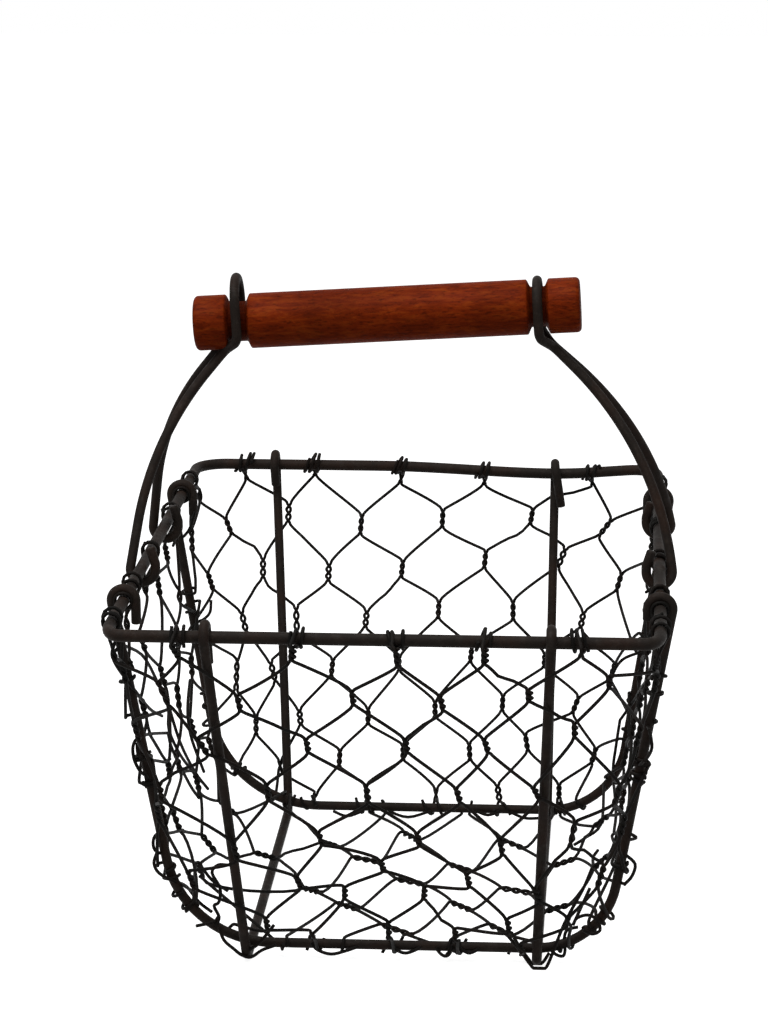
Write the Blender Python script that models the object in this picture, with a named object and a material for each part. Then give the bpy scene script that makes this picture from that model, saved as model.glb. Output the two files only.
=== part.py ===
"""A small wire basket for onions: a rim ring, two hoops and two ribs of bent wire, three sheets of
hexagonal netting tied to them, and a carrying handle made of two wire bails and a turned wooden grip."""

import math

import bmesh
import bpy
from mathutils import Matrix, Vector

# Wires, in metres
RIM_WIRE = 0.0041
FRAME_WIRE = 0.0034
NET_WIRE = 0.0011
TWIST_WIDTH = 0.0020
TIE_WIRE = 0.0010
CLEARANCE = 0.0003

# Rim ring: the centre line's size, its height and the corners' runs along each side
RIM_WIDTH = 0.178
RIM_DEPTH = 0.254
RIM_HEIGHT = 0.127
RIM_FRONT_CORNER_X = 0.005
RIM_REAR_CORNER_X = 0.0115
RIM_CORNER_Y = 0.011

# Hoops: where each hooks on the side rails, where it stands on the ribs and how far in from the rails, its
# lower bends and its tails' drops
FRONT_HOOP_TOP_Y = -0.083
FRONT_HOOP_FOOT_Y = -0.0758
FRONT_HOOP_FOOT_IN = 0.0175
FRONT_HOOP_LEFT_BEND = 0.036
FRONT_HOOP_RIGHT_BEND = 0.028
FRONT_HOOP_LEFT_TAIL = 0.008
FRONT_HOOP_RIGHT_TAIL = 0.004
REAR_HOOP_TOP_Y = 0.0735
REAR_HOOP_FOOT_Y = 0.0753
REAR_HOOP_FOOT_IN = 0.0150
REAR_HOOP_LEFT_BEND = 0.042
REAR_HOOP_RIGHT_BEND = 0.030
REAR_HOOP_LEFT_TAIL = 0.008
REAR_HOOP_RIGHT_TAIL = 0.006

# Ribs: how far each foot bend stands outside the hoop that it carries, the tails' drops, and how far in from
# the rail each one's top and foot are
RIB_SETBACK = 0.0045
RIB_BEND = 0.006
RIB_FRONT_TAIL = 0.010
LEFT_RIB_REAR_TAIL = 0.0075
RIGHT_RIB_REAR_TAIL = 0.010
LEFT_RIB_TOP_FRONT_IN = 0.0324
LEFT_RIB_TOP_REAR_IN = 0.0298
LEFT_RIB_FOOT_FRONT_IN = 0.0399
LEFT_RIB_FOOT_REAR_IN = 0.0381
RIGHT_RIB_TOP_FRONT_IN = 0.0347
RIGHT_RIB_TOP_REAR_IN = 0.0396
RIGHT_RIB_FOOT_FRONT_IN = 0.0397
RIGHT_RIB_FOOT_REAR_IN = 0.0405

# Grip: a dowel with a groove for each bail
GRIP_LENGTH = 0.1346
GRIP_RADIUS = 0.0096
GRIP_CENTRE_X = -0.0066
GRIP_CENTRE_Y = -0.0010
GRIP_RISE = 0.08285
GRIP_TILT = math.radians(3.45)
GRIP_EDGE = 0.0016
GROOVE_RADIUS = 0.0070
GROOVE_CHAMFER = 0.0017
LEFT_GROOVE_WIDTH = 0.0055
LEFT_GROOVE_FROM_END = 0.0153
RIGHT_GROOVE_WIDTH = 0.0046
RIGHT_GROOVE_FROM_END = 0.0147

# Bails: feet along the rails, knee measured inwards and upwards from the rail, neck outwards and downwards
# from the middle of its groove, loop over the grip
LEFT_FOOT_FRONT_Y = -0.037
LEFT_FOOT_REAR_Y = 0.026
RIGHT_FOOT_FRONT_Y = -0.031
RIGHT_FOOT_REAR_Y = 0.0420
FOOT_SLACK = 0.0005
FOOT_DEPTH = 0.0055
FOOT_KNUCKLE_RISE = 0.0012
FOOT_TIP_RISE = 0.0068
FOOT_TIP_LEAN = 0.0018
FOOT_TIP_BEND = 0.003
LEFT_KNEE_IN = 0.0002
LEFT_KNEE_RISE = 0.0359
LEFT_KNEE_BEND = 0.075
LEFT_NECK_OUT = 0.0008
LEFT_NECK_DROP = 0.0100
RIGHT_KNEE_IN = 0.0017
RIGHT_KNEE_RISE = 0.0363
RIGHT_KNEE_BEND = 0.098
RIGHT_NECK_OUT = 0.0036
RIGHT_NECK_DROP = 0.0138
SHOULDER_BEND = 0.004
NECK_HALF = 0.0021
REAR_KNEE_STAGGER = 0.0010
LOOP_SLACK = 0.0004
LEFT_LOOP_RISE = 0.0154
LOOP_LIP = 0.0042
LOOP_LIP_BEND = 0.004

# Netting: the cell's width, the rows of cells, the run of a slanted strand along the sheet, and the edges
END_CELL_WIDTH = 0.0345
END_FOOT_SHARE = 0.76
TROUGH_CELL_WIDTH = 0.031
END_ROWS = 6
TROUGH_ROWS = 16
STRAND_DROP = 0.0100
END_NET_DROP = 0.008
END_NET_FOOT = 0.0075
END_CORNER_TOP_IN = 0.001
END_CORNER_FOOT_IN = 0.029
TROUGH_DROP = 0.011
TIE_PITCH = 0.00150
TIE_TURNS = 2.0
TIE_OVERRUN = 0.0004

# Fineness: the largest turn and the longest chord in a bend, and the sides of each tube
BEND_STEP = math.radians(22.5)
BEND_CHORD = 0.006
CORNER_STEPS = 6
FRAME_SIDES = 8
RIM_SIDES = 10
TIE_SIDES = 4
TIE_STEPS = 10
GRIP_STEPS = 24
SHARP_ANGLE = math.radians(50)
EDGE_STEPS = 3
CELL_MARGIN_SHARE = 0.22
MERGE = 0.000001
WELD = 0.000005

RAIL_HALF = RIM_WIDTH / 2
GRIP_HEIGHT = RIM_HEIGHT + GRIP_RISE
END_NET_TOP = RIM_HEIGHT - END_NET_DROP
TROUGH_TOP = RIM_HEIGHT - TROUGH_DROP
BAR_HALF = RIM_DEPTH / 2
HOOK_RADIUS = (RIM_WIRE + FRAME_WIRE) / 2 + CLEARANCE
RIB_RADIUS_DOWN = FRAME_WIRE / 2 * math.cos(math.pi / FRAME_SIDES)
HOOP_FOOT_HEIGHT = RIB_RADIUS_DOWN + FRAME_WIRE + CLEARANCE
TIE_RADIUS = (RIM_WIRE + TIE_WIRE) / 2 + CLEARANCE
LEFT_RIB_REACH = RAIL_HALF - min(LEFT_RIB_FOOT_FRONT_IN, LEFT_RIB_FOOT_REAR_IN) + FRAME_WIRE
RIGHT_RIB_REACH = RAIL_HALF - min(RIGHT_RIB_FOOT_FRONT_IN, RIGHT_RIB_FOOT_REAR_IN) + FRAME_WIRE
RIB_REACH = max(LEFT_RIB_REACH, RIGHT_RIB_REACH)


def clear_scene():
    for old in list(bpy.data.objects):
        bpy.data.objects.remove(old, do_unlink=True)


def material(name, colour, roughness, metallic):
    made = bpy.data.materials.new(name)
    made.use_nodes = True
    shader = made.node_tree.nodes["Principled BSDF"]
    shader.inputs["Base Color"].default_value = (*colour, 1)
    shader.inputs["Roughness"].default_value = roughness
    shader.inputs["Metallic"].default_value = metallic
    return made


def add_object(name, bm, finish):
    """One named sub-part from a closed bmesh, shaded smooth where it is round."""
    mesh = bpy.data.meshes.new(name)
    bmesh.ops.recalc_face_normals(bm, faces=bm.faces)
    bm.to_mesh(mesh)
    bm.free()
    mesh.shade_smooth()
    mesh.set_sharp_from_angle(angle=SHARP_ANGLE)
    mesh.materials.append(finish)
    made = bpy.data.objects.new(name, mesh)
    bpy.context.scene.collection.objects.link(made)
    return made


def bend(corners, radii):
    """The centre line of a wire through these corners, each inner one bent to its own radius."""
    line = [Vector(corners[0])]
    for before, corner, after, radius in zip(corners, corners[1:], corners[2:], radii):
        back = (Vector(before) - Vector(corner)).normalized()
        on = (Vector(after) - Vector(corner)).normalized()
        half = back.angle(on) / 2
        turn = math.pi - 2 * half
        centre = Vector(corner) + (back + on).normalized() * (radius / math.sin(half))
        start = Vector(corner) + back * (radius / math.tan(half))
        steps = max(math.ceil(turn / BEND_STEP), math.ceil(radius * turn / BEND_CHORD))
        for step in range(steps + 1):
            swing = Matrix.Rotation(turn * step / steps, 3, back.cross(on) * -1)
            point = centre + swing @ (start - centre)
            if (point - line[-1]).length > MERGE:
                line.append(point)
    line.append(Vector(corners[-1]))
    return line


def sweep(bm, line, diameter, sides, across=None, closed=False):
    """A tube along the line. Its rings face across, or turn as little as they can from one to the next."""
    count = len(line)
    rings = []
    side = Vector(across) if across else None
    for index, point in enumerate(line):
        before = line[index - 1] if index or closed else point
        after = line[(index + 1) % count] if index < count - 1 or closed else point
        ahead = ((after - point).normalized() + (point - before).normalized()).normalized()
        if side is None:
            side = ahead.orthogonal()
        reference = Vector(across) if across else side
        side = (reference - ahead * reference.dot(ahead)).normalized()
        up = ahead.cross(side)
        ring = []
        for corner in range(sides):
            angle = math.tau * (corner + 0.5) / sides
            outwards = side * math.cos(angle) + up * math.sin(angle)
            ring.append(bm.verts.new(point + outwards * (diameter / 2)))
        rings.append(ring)
    for first, second in zip(rings, rings[1:] + rings[:1] if closed else rings[1:]):
        for corner in range(sides):
            after = (corner + 1) % sides
            bm.faces.new((first[corner], first[after], second[after], second[corner]))
    if not closed:
        bm.faces.new(rings[0][::-1])
        bm.faces.new(rings[-1])


def wire(name, line, diameter, sides, finish, across=None, closed=False):
    bm = bmesh.new()
    sweep(bm, line, diameter, sides, across, closed)
    return add_object(name, bm, finish)


def outer_tangent(centre, radius, point, height):
    """How far out, at this height, the line from the point lies that just touches the circle's outer side.
    Places are (distance outwards, height)."""
    away = Vector(point) - Vector(centre)
    lean = math.atan2(away.y, away.x)
    opening = math.acos(radius / away.length)
    places = [Vector((math.cos(turn), math.sin(turn))) for turn in (lean + opening, lean - opening)]
    touch = Vector(centre) + radius * max(places, key=lambda place: place.x)
    share = (height - point[1]) / (touch.y - point[1])
    return point[0] + (touch.x - point[0]) * share


def mix(low, high, share):
    return low + (high - low) * share


def rim_line():
    line = []
    quarter = math.pi / 2
    for corner, (x_side, y_side) in enumerate(((1, 1), (-1, 1), (-1, -1), (1, -1))):
        for step in range(CORNER_STEPS + 1):
            angle = quarter * (corner + step / CORNER_STEPS)
            run = RIM_REAR_CORNER_X if y_side > 0 else RIM_FRONT_CORNER_X
            x = x_side * (RAIL_HALF - run) + run * math.cos(angle)
            y = y_side * (BAR_HALF - RIM_CORNER_Y) + RIM_CORNER_Y * math.sin(angle)
            line.append(Vector((x, y, RIM_HEIGHT)))
    return line


def hooked_u(rail_half, foot_height, foot_halves, foot_bends, tail_drops):
    """The centre line of a U of frame wire: each leg rises outside the rim wire, goes over it and ends in a
    tail that points down inside. Halves, bends and drops are for its left and its right side."""
    top = RIM_HEIGHT + HOOK_RADIUS
    corners = []
    for side, foot_half, tail_drop in zip((-1, 1), foot_halves, tail_drops):
        out = outer_tangent((rail_half, RIM_HEIGHT), HOOK_RADIUS, (foot_half, foot_height), top)
        tail = rail_half - HOOK_RADIUS
        leg = [(foot_half, foot_height), (out, top), (tail, top), (tail, RIM_HEIGHT - tail_drop)]
        corners += [(side * across, 0, height) for across, height in leg[::side]]
    return bend(corners, [HOOK_RADIUS, HOOK_RADIUS, *foot_bends, HOOK_RADIUS, HOOK_RADIUS])


class Hoop:
    """A hoop's places: its depth at the rim and at its foot, its foot's half width, and the bends and the
    tails' drops of its left and right sides."""

    def __init__(self, top_y, foot_y, foot_half, bends, tails):
        self.top_y = top_y
        self.foot_y = foot_y
        self.foot_half = foot_half
        self.bends = bends
        self.tails = tails
        foot = (foot_half, HOOP_FOOT_HEIGHT)
        leg_top = outer_tangent((RAIL_HALF, RIM_HEIGHT), HOOK_RADIUS, foot, RIM_HEIGHT)
        self.slope = (leg_top - foot_half) / (RIM_HEIGHT - HOOP_FOOT_HEIGHT)

    def depth(self, height):
        return mix(self.foot_y, self.top_y, (height - HOOP_FOOT_HEIGHT) / (RIM_HEIGHT - HOOP_FOOT_HEIGHT))

    def half(self, height, side):
        """How far out the centre line lies at this height: a slanted leg above, the lower bend below."""
        radius = self.bends[side > 0]
        lean = math.atan(self.slope)
        centre_height = HOOP_FOOT_HEIGHT + radius
        if height >= centre_height - radius * math.sin(lean):
            return self.foot_half + self.slope * (height - HOOP_FOOT_HEIGHT)
        centre_half = self.foot_half + self.slope * radius - radius / math.cos(lean)
        drop = min(centre_height - height, radius)
        return centre_half + math.sqrt(radius**2 - drop**2)

    def line(self):
        halves = (self.foot_half, self.foot_half)
        flat = hooked_u(RAIL_HALF, HOOP_FOOT_HEIGHT, halves, self.bends, self.tails)
        return [Vector((p.x, self.depth(min(p.z, RIM_HEIGHT)), p.z)) for p in flat]

    def section(self, top):
        """The part of the hoop below this height on both sides."""
        out = self.half(top, 1)
        foot = self.foot_half
        corners = ((-out, 0, top), (-foot, 0, HOOP_FOOT_HEIGHT), (foot, 0, HOOP_FOOT_HEIGHT), (out, 0, top))
        flat = bend(corners, self.bends)
        return [Vector((p.x, self.depth(p.z), p.z)) for p in flat]


def front_hoop():
    bends = (FRONT_HOOP_LEFT_BEND, FRONT_HOOP_RIGHT_BEND)
    tails = (FRONT_HOOP_LEFT_TAIL, FRONT_HOOP_RIGHT_TAIL)
    return Hoop(FRONT_HOOP_TOP_Y, FRONT_HOOP_FOOT_Y, RAIL_HALF - FRONT_HOOP_FOOT_IN, bends, tails)


def rear_hoop():
    bends = (REAR_HOOP_LEFT_BEND, REAR_HOOP_RIGHT_BEND)
    tails = (REAR_HOOP_LEFT_TAIL, REAR_HOOP_RIGHT_TAIL)
    return Hoop(REAR_HOOP_TOP_Y, REAR_HOOP_FOOT_Y, RAIL_HALF - REAR_HOOP_FOOT_IN, bends, tails)


def rib_line(side, tops, feet, rear_tail):
    """A rib runs from front to rear under both hoops, so its flat line's first coordinate lies along Y. Its
    tops and feet, at the front and the rear, are measured inwards from the rail."""
    halves = (-FRONT_HOOP_FOOT_Y + RIB_SETBACK, REAR_HOOP_FOOT_Y + RIB_SETBACK)
    tails = (RIB_FRONT_TAIL, rear_tail)
    line = []
    for point in hooked_u(BAR_HALF, RIB_RADIUS_DOWN, halves, (RIB_BEND, RIB_BEND), tails):
        along = (point.x + BAR_HALF) / RIM_DEPTH
        rise = (min(point.z, RIM_HEIGHT) - RIB_RADIUS_DOWN) / (RIM_HEIGHT - RIB_RADIUS_DOWN)
        inwards = mix(mix(*feet, along), mix(*tops, along), rise)
        line.append(Vector((side * (RAIL_HALF - inwards), point.x, point.z)))
    return line


def grip_axis():
    return Vector((math.cos(GRIP_TILT), 0, math.sin(GRIP_TILT)))


def grip_centre():
    return Vector((GRIP_CENTRE_X, GRIP_CENTRE_Y, GRIP_HEIGHT))


def groove_place(from_end, side):
    return grip_centre() + grip_axis() * side * (GRIP_LENGTH / 2 - from_end)


def bail_line(side, feet, knee, neck, groove, loop_rise, bend_radius):
    """One wire: a hooked foot, a leg, the loop over the grip's groove, the other leg and its foot.
    The knee is (inwards, upwards) from the rail, and the rear leg's lies a little further out. The neck is
    (outwards, downwards) from the groove's middle."""
    slack_radius = HOOK_RADIUS + FOOT_SLACK - CLEARANCE
    bottom = RIM_HEIGHT - FOOT_DEPTH
    knee_out = RAIL_HALF - knee[0]
    knee_height = RIM_HEIGHT + knee[1]
    outside = outer_tangent((RAIL_HALF, RIM_HEIGHT), slack_radius, (knee_out, knee_height), bottom)
    inside = RAIL_HALF - slack_radius - CLEARANCE
    foot_bend = (outside - inside) / 2 - MERGE
    half_loop = GROOVE_RADIUS + FRAME_WIRE / 2 + LOOP_SLACK
    down = -grip_axis().cross(Vector((0, 1, 0)))
    corners = []
    for turn, (foot_y, lean) in enumerate(zip(feet, (-1, 1))):
        neck_y = groove.y + lean * NECK_HALF
        neck_out = side * groove.x + neck[0]
        neck_height = groove.z - neck[1]
        knee_share = knee[1] / (neck_height - RIM_HEIGHT)
        lip = groove + down * (groove.z - neck_height - LOOP_LIP)
        top = groove - down * loop_rise
        leg = [
            (side * (inside + FOOT_TIP_LEAN), foot_y, RIM_HEIGHT + FOOT_TIP_RISE),
            (side * inside, foot_y, RIM_HEIGHT + FOOT_KNUCKLE_RISE),
            (side * inside, foot_y, bottom),
            (side * outside, foot_y, bottom),
            (side * (knee_out + turn * REAR_KNEE_STAGGER), mix(foot_y, neck_y, knee_share), knee_height),
            (side * neck_out, neck_y, neck_height),
            (lip.x, groove.y + lean * half_loop, lip.z),
            (top.x, groove.y + lean * half_loop, top.z),
        ]
        corners += leg if turn == 0 else leg[::-1]
    foot = [FOOT_TIP_BEND, foot_bend, foot_bend]
    one_side = foot + [bend_radius, SHOULDER_BEND, LOOP_LIP_BEND, half_loop - MERGE]
    return bend(corners, one_side + one_side[::-1])


def make_grip(finish):
    """The turned dowel, spun about its own axis, which is its object's X."""
    start = -GRIP_LENGTH / 2
    profile = [(start, 0)]
    for step in range(EDGE_STEPS + 1):
        angle = math.pi / 2 * step / EDGE_STEPS
        drop = GRIP_EDGE * (1 - math.sin(angle))
        profile.append((start + GRIP_EDGE * (1 - math.cos(angle)), GRIP_RADIUS - drop))
    left = start + LEFT_GROOVE_FROM_END
    right = -start - RIGHT_GROOVE_FROM_END
    for place, width in ((left, LEFT_GROOVE_WIDTH), (right, RIGHT_GROOVE_WIDTH)):
        profile.append((place - width / 2 - GROOVE_CHAMFER, GRIP_RADIUS))
        profile.append((place - width / 2, GROOVE_RADIUS))
        profile.append((place + width / 2, GROOVE_RADIUS))
        profile.append((place + width / 2 + GROOVE_CHAMFER, GRIP_RADIUS))
    for x, radius in reversed(profile[: EDGE_STEPS + 2]):
        profile.append((-x, radius))
    bm = bmesh.new()
    verts = [bm.verts.new((x, radius, 0)) for x, radius in profile]
    edges = [bm.edges.new(pair) for pair in zip(verts, verts[1:])]
    bmesh.ops.spin(bm, geom=verts + edges, cent=(0, 0, 0), axis=(1, 0, 0), angle=math.tau, steps=GRIP_STEPS)
    bmesh.ops.remove_doubles(bm, verts=bm.verts, dist=MERGE)
    grip = add_object("grip", bm, finish)
    grip.location = grip_centre()
    grip.rotation_euler = (0, -GRIP_TILT, 0)
    return grip


class EndSheet:
    """The sheet of netting outside the ribs at one end. Its wings turn the corners to the hoop's legs.
    Across is measured along the sheet from its middle, and down from its upper edge."""

    def __init__(self, end, hoop):
        self.end = end
        self.hoop = hoop
        self.foot_y = abs(hoop.foot_y) + RIB_SETBACK
        foot = (self.foot_y, RIB_RADIUS_DOWN)
        rib_top = outer_tangent((BAR_HALF, RIM_HEIGHT), HOOK_RADIUS, foot, RIM_HEIGHT)
        self.slope = (rib_top - self.foot_y) / (RIM_HEIGHT - RIB_RADIUS_DOWN)
        self.lean = math.atan(self.slope)
        self.length = (END_NET_TOP - END_NET_FOOT) / math.cos(self.lean)

    def height(self, down):
        return END_NET_TOP - down * math.cos(self.lean)

    def squeeze(self, down):
        return mix(1, END_FOOT_SHARE, down / self.length)

    def corner(self, height, side):
        face = self.foot_y + self.slope * (height - RIB_RADIUS_DOWN)
        face += ((FRAME_WIRE + NET_WIRE) / 2 + CLEARANCE) / math.cos(self.lean)
        half = RAIL_HALF - mix(END_CORNER_FOOT_IN, END_CORNER_TOP_IN, height / RIM_HEIGHT)
        return Vector((max(min(half, self.hoop.half(height, side)), RIB_REACH), face))

    def wing_end(self, height, side):
        corner = self.corner(height, side)
        half = self.hoop.half(height, side)
        if half <= corner.x:
            return corner
        beside = abs(self.hoop.depth(height)) + (FRAME_WIRE + TWIST_WIDTH) / 2 + CLEARANCE
        return Vector((half, min(beside, corner.y)))

    def limits(self, down):
        height = self.height(down)
        reaches = []
        for side in (-1, 1):
            corner = self.corner(height, side)
            reaches.append((corner.x + (self.wing_end(height, side) - corner).length) / self.squeeze(down))
        return -reaches[0], reaches[1]

    def place(self, across, down):
        height = self.height(down)
        corner = self.corner(height, across)
        past = abs(across) * self.squeeze(down) - corner.x
        if past <= 0:
            flat = Vector((corner.x + past, corner.y))
        else:
            wing = self.wing_end(height, across) - corner
            flat = corner + wing.normalized() * past if wing.length > MERGE else corner
        return Vector((math.copysign(flat.x, across), self.end * flat.y, height))

    def tie(self, across):
        """The rim's centre beside the upper edge, and the ways out and along the rim there."""
        edge = self.place(across, 0)
        run = RIM_REAR_CORNER_X if self.end > 0 else RIM_FRONT_CORNER_X
        if abs(edge.x) < RAIL_HALF - run and abs(edge.y) > BAR_HALF:
            return edge, Vector((edge.x, self.end * BAR_HALF, RIM_HEIGHT)), Vector((0, self.end, 0))
        out = math.copysign(1, edge.x)
        return edge, Vector((out * RAIL_HALF, edge.y, RIM_HEIGHT)), Vector((out, 0, 0))


class TroughSheet:
    """The sheet that goes down one side, across the base and up the other side, between the two hoops.
    Across is measured along Y, and down along the sheet from its upper left edge."""

    def __init__(self, front, rear):
        self.front = front.section(TROUGH_TOP)
        self.rear = rear.section(TROUGH_TOP)
        self.length = sum((b - a).length for a, b in zip(self.front, self.front[1:]))

    def along(self, line, share):
        whole = sum((b - a).length for a, b in zip(line, line[1:]))
        left = share * whole
        for a, b in zip(line, line[1:]):
            if left <= (b - a).length:
                return a.lerp(b, left / (b - a).length)
            left -= (b - a).length
        return line[-1]

    def limits(self, down):
        share = down / self.length
        room = (FRAME_WIRE + TWIST_WIDTH) / 2 + CLEARANCE
        return self.along(self.front, share).y + room, self.along(self.rear, share).y - room

    def place(self, across, down):
        share = down / self.length
        front = self.along(self.front, share)
        rear = self.along(self.rear, share)
        return front.lerp(rear, (across - front.y) / (rear.y - front.y))

    def tie(self, across, down=0):
        edge = self.place(across, down)
        out = math.copysign(1, edge.x)
        return edge, Vector((out * RAIL_HALF, edge.y, RIM_HEIGHT)), Vector((out, 0, 0))


def netting(sheet, cell_width, rows):
    """Hexagons laid on the sheet: each side edge is a twist and each slanted edge a single strand.
    Returns the bmesh, the twists' middles and the places of the cells whose points end at the rim."""
    pitch = (sheet.length - STRAND_DROP) / rows
    bm = bmesh.new()
    verts = {}
    middles = []

    def spot(column, level):
        """Levels go in pairs down the sheet: a twist's upper and lower ends lie at 2r + 1 and 2r + 2."""
        down = min((level // 2) * pitch + (level % 2) * STRAND_DROP, sheet.length)
        low, high = sheet.limits(down)
        across = min(max(column * cell_width / 2, low), high)
        key = (across, level)
        if key not in verts:
            verts[key] = bm.verts.new(sheet.place(across, down))
        return verts[key]

    def middle(column, row):
        key = (column, row, "middle")
        if key not in verts:
            ends = [spot(column, 2 * row + 1).co, spot(column, 2 * row + 2).co]
            verts[key] = bm.verts.new((ends[0] + ends[1]) / 2)
            middles.append(verts[key])
        return verts[key]

    first, last = [], []
    for row in range(rows):
        low, high = sheet.limits((row + 0.5) * pitch + STRAND_DROP / 2)
        margin = cell_width * CELL_MARGIN_SHARE
        most = math.ceil((high - low) / cell_width)
        for cell in range(-most, most + 1):
            column = 2 * cell + row % 2
            if not low + margin < column * cell_width / 2 < high - margin:
                continue
            level = 2 * row
            outline = [spot(column, level), spot(column + 1, level + 1), middle(column + 1, row)]
            outline += [spot(column + 1, level + 2), spot(column, level + 3), spot(column - 1, level + 2)]
            outline += [middle(column - 1, row), spot(column - 1, level + 1)]
            bm.faces.new(outline)
            if row == 0:
                first.append(column * cell_width / 2)
            if row == rows - 1:
                last.append(column * cell_width / 2)
    bm.verts.index_update()
    return bm, [vert.index for vert in middles], first, last


def tie_line(edge, rim, out):
    """A netting end: it rises from the sheet's edge and winds round the rim wire."""
    up = Vector((0, 0, 1))
    along = out.cross(up)
    line = []
    steps = round(TIE_TURNS * TIE_STEPS)
    for step in range(steps, -1, -1):
        angle = math.tau * step / TIE_STEPS
        around = out * math.cos(angle) + up * math.sin(angle)
        line.append(rim + around * TIE_RADIUS + along * (TIE_PITCH * step / TIE_STEPS))
    tail = (edge - line[-1]).normalized()
    line.append(edge + tail * TIE_OVERRUN)
    return line


def least_gap(line, diameter, apart):
    """The smallest gap between points of a wound wire that lie more than this many points apart."""
    gaps = [
        (line[a] - line[b]).length - diameter
        for a in range(len(line))
        for b in range(a + apart, len(line))
    ]
    return min(gaps)


def make_net(name, sheet, cell_width, rows, finish, both_ends=False):
    bm, middles, first, last = netting(sheet, cell_width, rows)
    mesh = bpy.data.meshes.new(name)
    bmesh.ops.recalc_face_normals(bm, faces=bm.faces)
    bm.to_mesh(mesh)
    bm.free()
    mesh.materials.append(finish)
    net = bpy.data.objects.new(name, mesh)
    bpy.context.scene.collection.objects.link(net)
    twists = net.vertex_groups.new(name="twists")
    twists.add(middles, 1.0, "REPLACE")
    strands = net.modifiers.new("strands", "WIREFRAME")
    strands.thickness = TWIST_WIDTH
    strands.vertex_group = twists.name
    strands.thickness_vertex_group = NET_WIRE / TWIST_WIDTH
    strands.use_even_offset = True
    strands.use_boundary = True
    strands.use_replace = True
    ties = bmesh.new()
    places = [sheet.tie(across) for across in first]
    if both_ends:
        places += [sheet.tie(across, sheet.length) for across in last]
    for edge, rim, out in places:
        line = tie_line(edge, rim, out)
        sweep(ties, line, TIE_WIRE, TIE_SIDES)
    print(name, "least gap in a tie", round(least_gap(line[:-1], TIE_WIRE, TIE_STEPS - 1), 6))
    wound = add_object(name + "_ties", ties, finish)
    wound.hide_render = True
    wound.display_type = "WIRE"
    join = net.modifiers.new("ties", "BOOLEAN")
    join.operation = "UNION"
    join.solver = "EXACT"
    join.object = wound
    weld = net.modifiers.new("weld", "WELD")
    weld.merge_threshold = WELD
    return net


def main():
    clear_scene()
    dark_wire = material("dark_wire", (0.035, 0.028, 0.026), 0.62, 0.35)
    net_wire = material("net_wire", (0.025, 0.021, 0.020), 0.65, 0.35)
    stained_wood = material("stained_wood", (0.22, 0.065, 0.02), 0.5, 0.0)

    wire("rim_ring", rim_line(), RIM_WIRE, RIM_SIDES, dark_wire, across=(0, 0, 1), closed=True)
    front, rear = front_hoop(), rear_hoop()
    wire("front_hoop", front.line(), FRAME_WIRE, FRAME_SIDES, dark_wire, across=(0, 1, 0))
    wire("rear_hoop", rear.line(), FRAME_WIRE, FRAME_SIDES, dark_wire, across=(0, 1, 0))
    left_rib = rib_line(
        -1,
        (LEFT_RIB_TOP_FRONT_IN, LEFT_RIB_TOP_REAR_IN),
        (LEFT_RIB_FOOT_FRONT_IN, LEFT_RIB_FOOT_REAR_IN),
        LEFT_RIB_REAR_TAIL,
    )
    right_rib = rib_line(
        1,
        (RIGHT_RIB_TOP_FRONT_IN, RIGHT_RIB_TOP_REAR_IN),
        (RIGHT_RIB_FOOT_FRONT_IN, RIGHT_RIB_FOOT_REAR_IN),
        RIGHT_RIB_REAR_TAIL,
    )
    wire("left_rib", left_rib, FRAME_WIRE, FRAME_SIDES, dark_wire, across=(1, 0, 0))
    wire("right_rib", right_rib, FRAME_WIRE, FRAME_SIDES, dark_wire, across=(1, 0, 0))

    snug = GROOVE_RADIUS + FRAME_WIRE / 2 + LOOP_SLACK
    left_bail = bail_line(
        -1,
        (LEFT_FOOT_FRONT_Y, LEFT_FOOT_REAR_Y),
        (LEFT_KNEE_IN, LEFT_KNEE_RISE),
        (LEFT_NECK_OUT, LEFT_NECK_DROP),
        groove_place(LEFT_GROOVE_FROM_END, -1),
        LEFT_LOOP_RISE,
        LEFT_KNEE_BEND,
    )
    right_bail = bail_line(
        1,
        (RIGHT_FOOT_FRONT_Y, RIGHT_FOOT_REAR_Y),
        (RIGHT_KNEE_IN, RIGHT_KNEE_RISE),
        (RIGHT_NECK_OUT, RIGHT_NECK_DROP),
        groove_place(RIGHT_GROOVE_FROM_END, 1),
        snug,
        RIGHT_KNEE_BEND,
    )
    wire("left_bail", left_bail, FRAME_WIRE, FRAME_SIDES, dark_wire)
    wire("right_bail", right_bail, FRAME_WIRE, FRAME_SIDES, dark_wire)
    make_grip(stained_wood)

    make_net("front_net", EndSheet(-1, front), END_CELL_WIDTH, END_ROWS, net_wire)
    make_net("rear_net", EndSheet(1, rear), END_CELL_WIDTH, END_ROWS, net_wire)
    make_net("trough_net", TroughSheet(front, rear), TROUGH_CELL_WIDTH, TROUGH_ROWS, net_wire, both_ends=True)


main()
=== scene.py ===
"""The looks of a small wire onion basket: bent frame wires, twisted hexagonal netting that is wound onto
them, a turned and stained wooden grip, and a plain stage with the photograph's camera."""

import math
import random

import bmesh
import bpy
from mathutils import Matrix, Vector


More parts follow.
